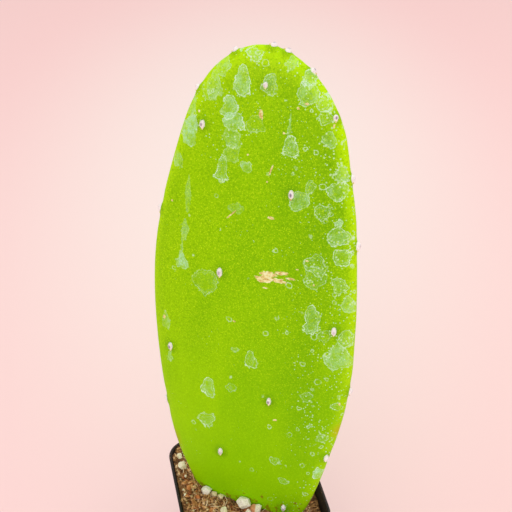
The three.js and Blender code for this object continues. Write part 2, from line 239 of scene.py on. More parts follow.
# Stage: one sheet of pale pink paper, with a pale pool of light painted on it behind the plant, fading to the
# pink further out
stage = {
    "size": 12000,
    "lightPoolColour": "#fbf0eb",
    "pink": "#fcdbda",
    "lightPoolShift": 121,  # from where the eye's axis meets the floor, away from the eye
    "lightPoolDepth": 0.506,  # how much the pool is squeezed along the line of sight
    "lightPoolFrom": 40,
    "lightPoolTo": 260,
    "skyColour": "#fdf3f0",
    "skyStrength": 0.855,
}


def buildStage():
    half = stage["size"] / 2 * mm
    corners = [(-half, -half, 0), (half, -half, 0), (half, half, 0), (-half, half, 0)]
    floor = newObject("floor", meshFrom("floor", corners, [(0, 1, 2, 3)]))
    material, add, shader, place = newMaterial(
        "matt backdrop paper", {"Roughness": 0.9, "Specular IOR Level": 0.1},
    )
    # a painted pool of light, round for an eye that looks down on it at the camera's angle
    eyeLine = eye.location - back * (eye.location.z / back.z)
    eyeLine += Vector((-math.sin(turn), math.cos(turn), 0)) * stage["lightPoolShift"] * mm
    centred = add("VectorMath", "SUBTRACT", (place, list(eyeLine)))
    turned = add("VectorRotate", {"rotation_type": "Z_AXIS"}, {"Vector": centred, "Angle": -turn})
    squashed = add("VectorMath", "MULTIPLY", (turned, (1, stage["lightPoolDepth"], 0)))
    distance = add("VectorMath", "LENGTH", (squashed,))
    share = add(
        "MapRange", smoothly,
        {
            "Value": distance.outputs["Value"], "From Min": stage["lightPoolFrom"] * mm,
            "From Max": stage["lightPoolTo"] * mm,
        },
    )
    # painted light: the pale pool colour near the middle, the paper's own pink outside it
    tint = add("Mix", asColour, {0: share, 6: linear(stage["lightPoolColour"]), 7: linear(stage["pink"])})
    fibre = add("TexNoise", inputs={"Vector": place, "Scale": grain(3), "Detail": 3})
    tooth = add("Bump", inputs={"Strength": 0.05, "Distance": 0.0002, "Height": fibre})
    feed(shader, {"Base Color": tint.outputs[2], "Normal": tooth})
    floor.data.materials.append(material)

    world = bpy.data.worlds.new("studio")
    scene.world = world
    world.use_nodes = True
    sky = world.node_tree.nodes["Background"]
    sky.inputs["Color"].default_value = linear(stage["skyColour"])
    sky.inputs["Strength"].default_value = stage["skyStrength"]


# Soft boxes: place, aim, width and power
lights = {
    "soft box in front": {"place": (-350, -700, 650), "aim": (0, 0, 120), "size": 700, "power": 0.72},
    "low soft box": {"place": (-130, -420, 200), "aim": (0, 0, 66), "size": 260, "power": 0.19},
    "soft box overhead": {"place": (250, 250, 1000), "aim": (0, 0, 150), "size": 700, "power": 2.0},
}


def buildLights():
    for name, light in lights.items():
        lamp = bpy.data.objects.new(name, bpy.data.lights.new(name, "AREA"))
        lamp.data.shape = "DISK"
        lamp.data.size = light["size"] * mm
        lamp.data.energy = light["power"]
        lamp.location = Vector(light["place"]) * mm
        lamp.rotation_euler = (lamp.location - Vector(light["aim"]) * mm).to_track_quat("Z", "Y").to_euler()
        scene.collection.objects.link(lamp)


buildStage()
buildLights()
print("stage and lights placed")


# Pot: the same walls, band and rolled lip as its solid, with finer corners
pot = {
    "topWidth": 63,
    "footWidth": 46,
    "topCorner": 9,
    "footCorner": 6,
    "wall": 0.7,
    "bandHeight": 10.5,
    "bandStep": 0.7,
    "bandLedge": 0.6,
    "lipRadius": 0.5,
    "footChamfer": 0.6,
    "floorThickness": 1.2,
    "notchWidth": 12,
    "notchHeight": 3,
    "notchDepth": 3.5,
    "drainDiameter": 6.5,
    "drainMargin": 2.5,
    "waviness": 0.12,  # how far the thin walls wander
    "cornerSteps": 12,
    "sideSteps": 22,
    "notchRound": 0.8,
    "mixBelowLip": 4.4,
}
potHeight = (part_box("nursery_pot")[1].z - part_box("nursery_pot")[0].z) / mm
soilLevel = potHeight - pot["mixBelowLip"]


def wallRing(z, inset):
    # points round a rounded square, counter-clockwise from above
    share = z / potHeight
    width = pot["footWidth"] + (pot["topWidth"] - 2 * pot["bandStep"] - pot["footWidth"]) * share
    corner = pot["footCorner"] + (pot["topCorner"] - pot["footCorner"]) * share - inset
    reach = width / 2 - inset - corner
    ring = []
    signs = ((1, 1), (-1, 1), (-1, -1), (1, -1))
    for quarter in range(4):
        signX, signY = signs[quarter]
        nextX, nextY = signs[(quarter + 1) % 4]
        arc = np.radians(90 * (quarter + np.linspace(0, 1, pot["cornerSteps"] + 1)))
        bend = np.stack(
            [signX * reach + corner * np.cos(arc), signY * reach + corner * np.sin(arc)], axis=1
        )
        nextArc = math.radians(90 * (quarter + 1))
        start = bend[-1]
        end = np.array(
            [nextX * reach + corner * math.cos(nextArc), nextY * reach + corner * math.sin(nextArc)],
        )
        steps = np.linspace(0, 1, pot["sideSteps"] + 1)[1:-1, None]
        ring.append(np.vstack([bend, start + (end - start) * steps]))
    flat = np.vstack(ring)
    return np.column_stack([flat, np.full(len(flat), float(z))])


def loft(rings):
    # a closed skin over rings of equal count, closed on the middle of the first and the last
    count = len(rings[0])
    points = np.vstack([rings[0].mean(0)] + rings + [rings[-1].mean(0)])
    last = 1 + (len(rings) - 1) * count
    faces = []
    for i in range(count):
        j = (i + 1) % count
        faces.append((0, 1 + j, 1 + i))
        faces.append((len(points) - 1, last + i, last + j))
        for r in range(len(rings) - 1):
            a = 1 + r * count
            faces.append((a + i, a + j, a + count + j, a + count + i))
    return points * mm, faces


def insideInset(z):
    # from the outside of the tapered wall to the inner wall, which follows the band outwards
    share = (z - potHeight + pot["bandHeight"]) / pot["bandLedge"]
    return pot["wall"] - pot["bandStep"] * min(max(share, 0), 1)


def insideWidth(z):
    # half the width between the inner walls
    width = pot["footWidth"] + (pot["topWidth"] - 2 * pot["bandStep"] - pot["footWidth"]) * z / potHeight
    return width / 2 - insideInset(z)


def buildPot():
    foot, lip = pot["footChamfer"], pot["lipRadius"]
    bandFoot = potHeight - pot["bandHeight"]
    rings = [wallRing(0, foot) * (share, share, 1) for share in (0.3, 0.6, 0.85)]
    rings += [wallRing(0, foot), wallRing(foot * 0.4, foot * 0.25), wallRing(foot, 0)]
    rings += [wallRing(z, 0) for z in np.linspace(foot + 1, bandFoot, 16)]
    ledge = pot["bandLedge"]
    for t in (0.25, 0.5, 0.75, 1.0):
        rings.append(wallRing(bandFoot + ledge * t, -pot["bandStep"] * ease(0, 1, t)))
    for angle in np.radians(np.linspace(-90, 90, 11)):
        z = potHeight - lip + lip * math.sin(angle)
        rings.append(wallRing(z, -pot["bandStep"] - lip * math.cos(angle)))
    wall = pot["wall"]
    rings.append(wallRing(potHeight, insideInset(potHeight) - 0.2))
    rings += [wallRing(z, insideInset(z)) for z in np.linspace(potHeight - 0.2, bandFoot + ledge + 0.3, 6)]
    rings += [wallRing(bandFoot + ledge * t, insideInset(bandFoot + ledge * t)) for t in (1.0, 0.7, 0.3, 0.0)]
    rings += [wallRing(z, wall) for z in np.linspace(bandFoot - 2, pot["floorThickness"] + 1, 12)]
    rings.append(wallRing(pot["floorThickness"] + 0.3, wall + 0.1))
    rings.append(wallRing(pot["floorThickness"], wall + 0.4))
    rings += [wallRing(pot["floorThickness"], wall + 0.4) * (share, share, 1) for share in (0.85, 0.6, 0.3)]
    points, faces = loft(rings)
    for point in points:
        height = point[2] / mm
        held = ease(1, 12, height) * (1 - 0.7 * ease(bandFoot - 4, bandFoot, height))
        drift = noise.noise(Vector((point[0] * 45, point[1] * 45, point[2] * 30)))
        point[:2] *= 1 + held * drift * pot["waviness"] / 25
    shell = newObject("potShell", meshFrom("potShell", points, faces))
    cutters = bmesh.new()
    reach = insideWidth(0) - pot["drainMargin"] - pot["drainDiameter"] / 2
    for side in range(4):
        spin = Matrix.Rotation(side * math.pi / 2, 4, "Z")
        notchSize = (pot["notchWidth"] * mm, 2 * pot["notchDepth"] * mm, 2 * pot["notchHeight"] * mm)
        atEdge = Matrix.Translation((0, pot["footWidth"] / 2 * mm, 0)) @ Matrix.Diagonal((*notchSize, 1))
        notch = bmesh.ops.create_cube(cutters, size=1, matrix=spin @ atEdge)
        corners = set(notch["verts"])
        upper = [e for e in cutters.edges if corners.issuperset(e.verts) and min(v.co.z for v in e.verts) > 0]
        bmesh.ops.bevel(
            cutters, geom=upper, offset=pot["notchRound"] * mm, segments=4, affect="EDGES", profile=0.5,
        )
        atCorner = Matrix.Translation((reach * mm, reach * mm, 0))
        radius = pot["drainDiameter"] / 2 * mm
        bmesh.ops.create_cone(
            cutters, cap_ends=True, segments=40, radius1=radius, radius2=radius, depth=6 * mm,
            matrix=spin @ atCorner,
        )
    cutterMesh = bpy.data.meshes.new("cutters")
    cutters.to_mesh(cutterMesh)
    cutters.free()
    cutter = newObject("cutters", cutterMesh)
    cut = shell.modifiers.new("cut", "BOOLEAN")
    cut.operation, cut.solver, cut.object, cut.use_self = "DIFFERENCE", "EXACT", cutter, True
    shell = plainMesh(shell, "potShell")
    bpy.data.objects.remove(cutter)
    smoothBelow(shell.data, 32)
    shell.data.materials.clear()
    shell.data.materials.append(potPlastic())
    finishPiece(shell, "pot_plastic", "nursery_pot")


def potPlastic():
    # Injection-moulded polypropylene with carbon black: a satin face that greys where it is handled,
    # fine drag lines from the mould, and dust and dried mix where water has carried it.
    material, add, shader, place = newMaterial(
        "moulded black polypropylene", {"IOR": 1.49, "Specular IOR Level": 0.3},
    )
    height = add("SeparateXYZ", inputs=(place,)).outputs["Z"]
    drawn = add("Mapping", inputs={"Vector": place, "Scale": (1, 1, 0.06)})
    dragLines = add("TexNoise", inputs={"Vector": drawn, "Scale": grain(0.7), "Detail": 4})
    stipple = add("TexNoise", inputs={"Vector": place, "Scale": grain(0.35), "Detail": 2})
    cloud = add("TexNoise", inputs={"Vector": place, "Scale": grain(14), "Detail": 6})
    scuffSeat = add("Mapping", inputs={"Vector": place, "Rotation": (0.3, 0.2, 0.7), "Scale": (1, 1, 0.08)})
    scuff = add("TexNoise", inputs={"Vector": scuffSeat, "Scale": grain(2.4), "Detail": 8, "Roughness": 0.7})
    scuffed = add("ValToRGB", {"stops": [(0.6, 0.0), (0.7, 1.0)]}, (scuff,))
    # dust: more of it towards the rim and at the foot
    nearRim = add(
        "MapRange", smoothly,
        {"Value": height, "From Min": (potHeight - 16) * mm, "From Max": potHeight * mm},
    )
    nearFoot = add("MapRange", smoothly, {"Value": height, "From Min": 14 * mm, "From Max": 0.0})
    settled = add("Math", {"operation": "ADD", "use_clamp": True}, (nearRim, nearFoot))
    dusty = add("MapRange", {}, {"Value": settled, "To Min": 0.1, "To Max": 0.24})
    dustMask = add("Math", "ADD", (dusty, cloud))
    dust = add("ValToRGB", {"stops": [(0.62, 0.0), (0.9, 1.0)]}, (dustMask,))
    crumbs = add("TexVoronoi", {"feature": "F1"}, {"Vector": place, "Scale": grain(1.7)})
    dots = add("Math", "LESS_THAN", (crumbs, 0.17))
    speck = add("Math", "MULTIPLY", (dots, dust))
    black = add("Mix", asColour, {0: cloud, 6: linear("#0b0c0d"), 7: linear("#131415")})
    worn = add("Math", "MULTIPLY", (scuffed, 0.45))
    shadeGreyed = add("Mix", asColour, {0: worn, 6: black.outputs[2], 7: linear("#2c2d2e")})
    film = add("Math", "MULTIPLY", (dust, 0.16))
    dusted = add("Mix", asColour, {0: film, 6: shadeGreyed.outputs[2], 7: linear("#6f5d4c")})
    final = add("Mix", asColour, {0: speck, 6: dusted.outputs[2], 7: linear("#7a5a3e")})
    rough = add("Math", "MULTIPLY_ADD", (dust, 0.3, 0.4))
    rougher = add("Math", "MULTIPLY_ADD", (scuffed, 0.12, rough))
    relief = add("Math", "MULTIPLY_ADD", (stipple, 0.5, dragLines))
    skin = add("Bump", inputs={"Strength": 0.35, "Distance": 0.00012, "Height": relief})
    crust = add("Bump", inputs={"Strength": 0.5, "Distance": 0.0002, "Height": speck, "Normal": skin})
    feed(shader, {"Base Color": final.outputs[2], "Roughness": rougher, "Normal": crust})
    return material


buildPot()
print("pot built")


# Pad: a superellipse in section, fuller than an ellipse in outline, bowed back at its base and tip
pad = {
    "width": 86.5,
    "length": 226.5,
    "thickness": 15.0,
    "widestAt": 0.53,  # share of the length, from the base
    "tipThinning": 0.3,
    "bow": 4.0,
    "buried": 24.0,
    "rimPower": 2.4,
    "tipPower": 3.0,
    "leftFullness": [0.9, 0.9, 0.965, 0.975, 0.985, 1.0, 1.01, 1.0, 1.0, 1.06, 1.15],
    "rightFullness": [1.1, 1.04, 1.0, 1.01, 1.015, 0.995, 0.985, 1.0, 1.025, 1.11, 1.12],
    "lean": 10,  # degrees, backwards
    "sway": -1.2,
    "turn": -32,
    "aside": 2.3,
    "forward": 5,
    "waveSize": 34,
    "foldSize": 11,
    "foldStretch": 0.14,  # folds run lengthwise
    "moundReach": 9,  # how far from an areole its mound begins, and where it is highest
    "moundTop": 3.5,
    "pitReach": 3.8,
    "pitFloor": 1.0,
    "weld": 0.002,
    "rows": 290,
    "columns": 330,
    "frontShare": 0.66,  # of the columns that lie on the front face
    "swell": 0.35,  # the slow waves of the flesh
    "dimple": 0.28,  # how deep an areole sits
    "tinges": [
        {"at": (-31, -1, 25), "reach": 8, "strength": 0.45, "colour": "#b05a1c"},
        {"at": (39.5, -1, 47), "reach": 6, "strength": 0.42, "colour": "#e0922a"},
    ],
}
padPlace = (
    Matrix.Translation((-pad["aside"] * mm, -pad["forward"] * mm, soilLevel * mm))
    @ Matrix.Rotation(math.radians(pad["turn"]), 4, "Z")
    @ Matrix.Rotation(math.radians(pad["sway"]), 4, "Y")
    @ Matrix.Rotation(math.radians(-pad["lean"]), 4, "X")
)
padMiddle = pad["length"] * pad["widestAt"] - pad["buried"]
areoleNames = sorted(n for n in frame["nodes"] if n.startswith("areole_"))
areoleCentres = [(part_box(n)[0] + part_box(n)[1]) / 2 for n in areoleNames]


def padTree():
    tree, add, given = newTree(
        "padForm",
        {
            "Width": ("Float", 0.0865),
            "Length": ("Float", 0.2265),
            "Thickness": ("Float", 0.015),
            "Widest At": ("Float", 0.53),
            "Tip Thinning": ("Float", 0.3),
            "Bow": ("Float", 0.004),
            "Middle": ("Float", 0.1),
            "Rim Power": ("Float", 2.4),
            "Tip Power": ("Float", 3.0),
            "Front Share": ("Float", 0.66),
            "Rows": ("Int", 290),
            "Columns": ("Int", 330),
            "Swell": ("Float", 0.0004),
            "Dimple": ("Float", 0.0005),
            "Place": ("Vector", None),
            "Turn": ("Rotation", None),
            "Areoles": ("Object", None),
            "Skin": ("Material", None),
        },
    )
    grid = add(
        "GeometryNodeMeshGrid",
        inputs={"Size X": 1.0, "Size Y": 1.0, "Vertices X": given["Columns"], "Vertices Y": given["Rows"]},
    )
    spot = add("SeparateXYZ", inputs=(add("GeometryNodeInputPosition"),))
    # round the section: over the front from the right edge to the left, then back behind
    column = add("Math", "ADD", (spot.outputs["X"], 0.5))
    isFront = add("Math", "LESS_THAN", (column, given["Front Share"]))
    overFront = add(
        "MapRange", {"clamp": False}, {0: column, 1: 0.0, 2: given["Front Share"], 3: 1.0, 4: -1.0},
    )
    overBack = add(
        "MapRange", {"clamp": False}, {0: column, 1: given["Front Share"], 2: 1.0, 3: -1.0, 4: 1.0},
    )
    even = add("Mix", {"data_type": "FLOAT"}, {0: isFront, 2: overBack, 3: overFront})
    row = add("Math", "MULTIPLY", (spot.outputs["Y"], 2.0))
    eased = []
    for steps in (even, row):
        # steps get shorter towards the edges: x(5 - x^4) / 4
        four = add("Math", "POWER", (add("Math", "ABSOLUTE", (steps,)), 4.0))
        rest = add("Math", "MULTIPLY_ADD", (four, -0.25, 1.25))
        eased.append(add("Math", "MULTIPLY", (steps, rest)))
    across, along = eased
    isLow = add("Math", "LESS_THAN", (along, 0.0))
    aboveShare = add("Math", "SUBTRACT", (1.0, given["Widest At"]))
    reachShare = add("Mix", {"data_type": "FLOAT"}, {0: isLow, 2: aboveShare, 3: given["Widest At"]})
    halfAlong = add("Math", "MULTIPLY_ADD", (along, 0.5, 0.5))
    leftSide = add("FloatCurve", {"bends": [f - 0.5 for f in pad["leftFullness"]]}, {"Value": halfAlong})
    rightSide = add("FloatCurve", {"bends": [f - 0.5 for f in pad["rightFullness"]]}, {"Value": halfAlong})
    isRight = add("Math", "GREATER_THAN", (across, 0.0))
    side = add("Mix", {"data_type": "FLOAT"}, {0: isRight, 2: leftSide, 3: rightSide})
    fullness = add("Math", "ADD", (side, 0.5))
    alongTwo = add("Math", "MULTIPLY", (along, along))
    rest = add("Math", {"operation": "SUBTRACT", "use_clamp": True}, (1.0, alongTwo))
    ellipse = add("Math", "SQRT", (rest,))
    acrossTwo = add("Math", "MULTIPLY", (across, across))
    fromMiddle = add("Math", "MULTIPLY_ADD", (acrossTwo, rest, alongTwo))
    edgeShare = add("Math", "SQRT", (fromMiddle,))
    halfOutline = add("Math", "MULTIPLY", (given["Width"], 0.5))
    plainWidth = add("Math", "MULTIPLY", (halfOutline, ellipse))
    halfWidth = add("Math", "MULTIPLY", (plainWidth, fullness))
    tipShare = add("Math", "MULTIPLY", (halfAlong, given["Tip Thinning"]))
    thinning = add("Math", "SUBTRACT", (1.0, tipShare))
    alongTip = add("Math", "POWER", (add("Math", "ABSOLUTE", (along,)), given["Tip Power"]))
    tipRest = add("Math", {"operation": "SUBTRACT", "use_clamp": True}, (1.0, alongTip))
    closing = add("Math", "POWER", (tipRest, 1 / 3))
    halfThick = add("Math", "MULTIPLY", (given["Thickness"], 0.5))
    thinned = add("Math", "MULTIPLY", (halfThick, thinning))
    depth = add("Math", "MULTIPLY", (thinned, closing))
    acrossPower = add("Math", "POWER", (add("Math", "ABSOLUTE", (across,)), given["Rim Power"]))
    sectionRest = add("Math", {"operation": "SUBTRACT", "use_clamp": True}, (1.0, acrossPower))
    rimInverse = add("Math", "DIVIDE", (1.0, given["Rim Power"]))
    section = add("Math", "POWER", (sectionRest, rimInverse))
    frontSign = add("Math", "MULTIPLY_ADD", (isFront, -2.0, 1.0))
    bulge = add("Math", "MULTIPLY", (depth, section))
    faceDepth = add("Math", "MULTIPLY", (bulge, frontSign))
    placeX = add("Math", "MULTIPLY", (halfWidth, across))
    placeY = add("Math", "MULTIPLY_ADD", (given["Bow"], alongTwo, faceDepth))
    reach = add("Math", "MULTIPLY", (given["Length"], reachShare))
    placeZ = add("Math", "MULTIPLY_ADD", (along, reach, given["Middle"]))
    local = add("CombineXYZ", inputs=(placeX, placeY, placeZ))
    kept = add(
        "GeometryNodeStoreNamedAttribute", {"data_type": "FLOAT_VECTOR", "domain": "POINT"},
        {"Geometry": grid, "Name": "padSpot", "Value": local},
    )
    edgeKept = add(
        "GeometryNodeStoreNamedAttribute", {"data_type": "FLOAT", "domain": "POINT"},
        {"Geometry": kept, "Name": "edgeShare", "Value": edgeShare},
    )
    shaped = add("GeometryNodeSetPosition", inputs={"Geometry": edgeKept, "Position": local})
    closed = add("GeometryNodeMergeByDistance", inputs={"Geometry": shaped, "Distance": pad["weld"] * mm})
    placed = add(
        "GeometryNodeTransform",
        inputs={"Geometry": closed, "Translation": given["Place"], "Rotation": given["Turn"]},
    )
    # relief, along the normal: slow waves, finer folds that run lengthwise, a dimple at each areole
    away = add("GeometryNodeInputNormal")
    padSpot = add("GeometryNodeInputNamedAttribute", {"data_type": "FLOAT_VECTOR"}, {"Name": "padSpot"})
    waves = add(
        "TexNoise",
        inputs={"Vector": padSpot, "Scale": grain(pad["waveSize"]), "Detail": 2.0, "Roughness": 0.4},
    )
    drawn = add("VectorMath", "MULTIPLY", (padSpot, (1.0, 1.0, pad["foldStretch"])))
    folds = add("TexNoise", inputs={"Vector": drawn, "Scale": grain(pad["foldSize"]), "Detail": 1.0})
    waveRise = add("Math", "SUBTRACT", (waves, 0.5))
    foldRise = add("Math", "MULTIPLY_ADD", (folds, 0.45, -0.225))
    relief = add("Math", "ADD", (waveRise, foldRise))
    swell = add("Math", "MULTIPLY", (relief, given["Swell"]))
    areoles = add("GeometryNodeObjectInfo", {"transform_space": "RELATIVE"}, {"Object": given["Areoles"]})
    gap = add(
        "GeometryNodeProximity", {"target_element": "POINTS"}, {0: areoles.outputs["Geometry"]},
    ).outputs["Distance"]
    mound = add(
        "MapRange", smoothly, {0: gap, 1: pad["moundReach"] * mm, 2: pad["moundTop"] * mm, 3: 0.0, 4: 0.45},
    )
    pit = add(
        "MapRange", smoothly, {0: gap, 1: pad["pitReach"] * mm, 2: pad["pitFloor"] * mm, 3: 0.0, 4: -1.3},
    )
    seat = add("Math", "ADD", (mound, pit))
    dimple = add("Math", "MULTIPLY", (seat, given["Dimple"]))
    total = add("Math", "ADD", (swell, dimple))
    offset = add("VectorMath", "SCALE", {"Vector": away, "Scale": total})
    carved = add("GeometryNodeSetPosition", inputs={"Geometry": placed, "Offset": offset})
    gapKept = add(
        "GeometryNodeStoreNamedAttribute", {"data_type": "FLOAT", "domain": "POINT"},
        {"Geometry": carved, "Name": "areoleGap", "Value": gap},
    )
    realized = add("GeometryNodeRealizeInstances", inputs=(gapKept,))
    dressed = add("GeometryNodeSetMaterial", inputs={"Geometry": realized, "Material": given["Skin"]})
    add("NodeGroupOutput", inputs=(dressed,))
    return tree


# Hard water has dried on the skin in drops. Each: across, up (from the mix), half width, half height,
# how milky the film is, how strong its outline is.
waterMarks = {
    "under": [
        (-4, 199, 3.3, 2.2, 0.3, 0.7),
        (-16, 194, 2.4, 4.5, 0.5, 0.6),
        (-19, 186, 2.8, 5, 0.45, 0.4),
        (-8, 189, 3.0, 5.4, 0.55, 0.9),
        (-10, 173.5, 3.8, 3.4, 0.65, 0.9),
        (-10.5, 162, 2.6, 3.6, 0.25, 0.3),
        (-28, 168, 3.2, 6.4, 0.8, 0.4),
        (17.5, 188, 3.6, 4.4, 0.45, 0.8),
        (24, 184.5, 2.6, 2.5, 0.2, 0.9),
        (13, 167.5, 2.6, 3.8, 0.35, 0.9),
        (-1, 174, 3.2, 3.2, 0.12, 0.3),
        (27, 172, 2.4, 3, 0.4, 0.5),
        (32, 153, 3.2, 3.6, 0.3, 0.8),
        (18, 147.5, 3.6, 4.2, 0.5, 0.6),
        (34, 135, 4.5, 3.8, 0.4, 1.0),
        (-27.5, 142, 0.9, 8, 0.35, 0.1),
        (-29.5, 113.5, 2.2, 3.6, 0.8, 0.3),
        (26, 122, 4.4, 3.8, 0.15, 0.6),
        (-19, 106.5, 5.6, 5.4, 0.1, 0.4),
        (26.5, 99, 2.9, 6.2, 0.4, 0.85),
        (36, 114.5, 2.8, 3, 0.25, 0.6),
        (38, 83.5, 4.8, 5.6, 0.55, 0.6),
        (2, 75.5, 2.2, 3.6, 0.25, 0.9),
        (-16, 57.5, 2.7, 4.3, 0.35, 0.9),
        (-16.5, 40.5, 3.5, 3.4, 0.25, 0.8),
        (26, 63, 2.2, 2.2, 0.15, 0.5),
        (14, 27.5, 1.9, 1.8, 0.12, 0.45),
        (33, 24, 1.9, 2.8, 0.9, 0.9),
    ],
    "over": [
        (-20.5, 183.5, 3.4, 3.4, 0.2, 0.3),
        (-12, 179.5, 3.2, 4.2, 0.6, 1.0),
        (-10.5, 167.5, 3.4, 3.6, 0.35, 0.3),
        (-13.5, 154.5, 2.4, 4.8, 0.4, 0.95),
        (3, 189, 2.9, 3.7, 0.35, 0.7),
        (9.5, 197, 2, 2, 0.35, 0.3),
        (17.5, 193.5, 2.4, 3.2, 0.4, 0.9),
        (24.5, 179.5, 2.4, 2, 0.1, 0.6),
        (12, 175, 0.5, 5, 0.6, 0.2),
        (-28.5, 176, 2, 4, 0.5, 0.3),
        (32.5, 159.5, 2.4, 3.2, 0.7, 0.8),
        (33.5, 140, 1.5, 1.8, 0.6, 0.7),
        (27, 143.5, 2.8, 2.6, 0.1, 0.6),
        (21.5, 153, 2, 2.2, 0.2, 0.5),
        (-29.5, 119.5, 0.4, 4, 0.6, 0.1),
        (-28.5, 127, 1.1, 5, 0.4, 0.2),
        (-33, 154.5, 2, 2.8, 0.45, 0.3),
        (-7, 140, 2.6, 1.8, 0.3, 0.2),
        (-4, 157.5, 1.6, 1.2, 0.5, 0.5),
        (36.5, 127, 3.4, 3.4, 0.25, 0.9),
        (26, 117, 4.2, 4.8, 0.15, 0.4),
        (40, 107.5, 2.2, 3.4, 0.45, 0.5),
        (-37, 84, 1.6, 3.6, 0.5, 0.3),
        (31.5, 92, 2.6, 2.6, 0.08, 0.35),
        (40, 92, 2.4, 4, 0.25, 0.7),
        (-5, 78.5, 1.6, 0.8, 0.6, 0.4),
        (-6, 60.5, 1.9, 1.8, 0.08, 0.4),
        (28.5, 49, 1.3, 1.2, 0.4, 0.5),
        (34, 43.5, 1.9, 1.8, 0.15, 0.5),
        (-35, 67, 1.3, 2.2, 0.5, 0.3),
        (38.5, 60, 2, 2.2, 0.15, 0.6),
        (19, 17.5, 2.2, 1.4, 0.12, 0.5),
    ],
}


def markFields(marks, spots):
    # for every point: distance outside the nearest mark's edge, its milkiness and its outline
    farAway, behindFrom = 50.0, 6  # marks lie on the front face only
    best = np.full(len(spots), farAway)
    film = np.zeros(len(spots))
    line = np.zeros(len(spots))
    for number, (x, z, halfWide, halfHigh, milk, ring) in enumerate(marks):
        dx, dz = (spots[:, 0] - x), (spots[:, 2] - z)
        # drops run: narrower above than below
        run = 1 + 0.28 * np.clip(dz / halfHigh, -1, 1) if halfHigh > 1.15 * halfWide else 1.0
        angle = np.arctan2(dz, dx)
        knocks = 0.08 * np.sin(3 * angle + number) + 0.06 * np.sin(5 * angle + 2.3 * number)
        reach = np.hypot(dx * run / halfWide, dz / halfHigh) + 1e-6
        size = np.hypot(dx * run, dz) / reach
        edge = (reach - 1 - knocks) * np.maximum(size, min(halfWide, halfHigh))
        edge[spots[:, 1] > behindFrom] = farAway
        nearer = edge < best
        best[nearer] = edge[nearer]
        film[nearer] = milk
        line[nearer] = ring
    return np.stack([best, film, line], axis=1)


def buildPad():
    areolePoints = newObject("areolePoints", meshFrom("areolePoints", areoleCentres))
    values = {
        "Width": pad["width"] * mm,
        "Length": pad["length"] * mm,
        "Thickness": pad["thickness"] * mm,
        "Widest At": pad["widestAt"],
        "Tip Thinning": pad["tipThinning"],
        "Bow": pad["bow"] * mm,
        "Middle": padMiddle * mm,
        "Rim Power": pad["rimPower"],
        "Tip Power": pad["tipPower"],
        "Front Share": pad["frontShare"],
        "Rows": pad["rows"],
        "Columns": pad["columns"],
        "Swell": pad["swell"] * 2 * mm,
        "Dimple": pad["dimple"] * mm,
        "Place": list(padPlace.translation),
        "Turn": list(padPlace.to_euler()),
        "Areoles": areolePoints,
        "Skin": padSkinMaterial(),
    }
    holder = newObject("padHolder", meshFrom("padHolder", [(0, 0, 0)]))
    skin = growTree(holder, padTree(), "padSkin", values)
    bpy.data.objects.remove(areolePoints)
    smoothBelow(skin.data, 80, outward=True)
    spots = np.zeros(len(skin.data.vertices) * 3, np.float32)
    skin.data.attributes["padSpot"].data.foreach_get("vector", spots)
    spots = spots.reshape(-1, 3).astype(float) / mm
    keepFloats(skin.data, "marksUnder", markFields(waterMarks["under"], spots))
    keepFloats(skin.data, "marksOver", markFields(waterMarks["over"], spots))
    finishPiece(skin, "pad_skin", "cactus_pad")
    return skin


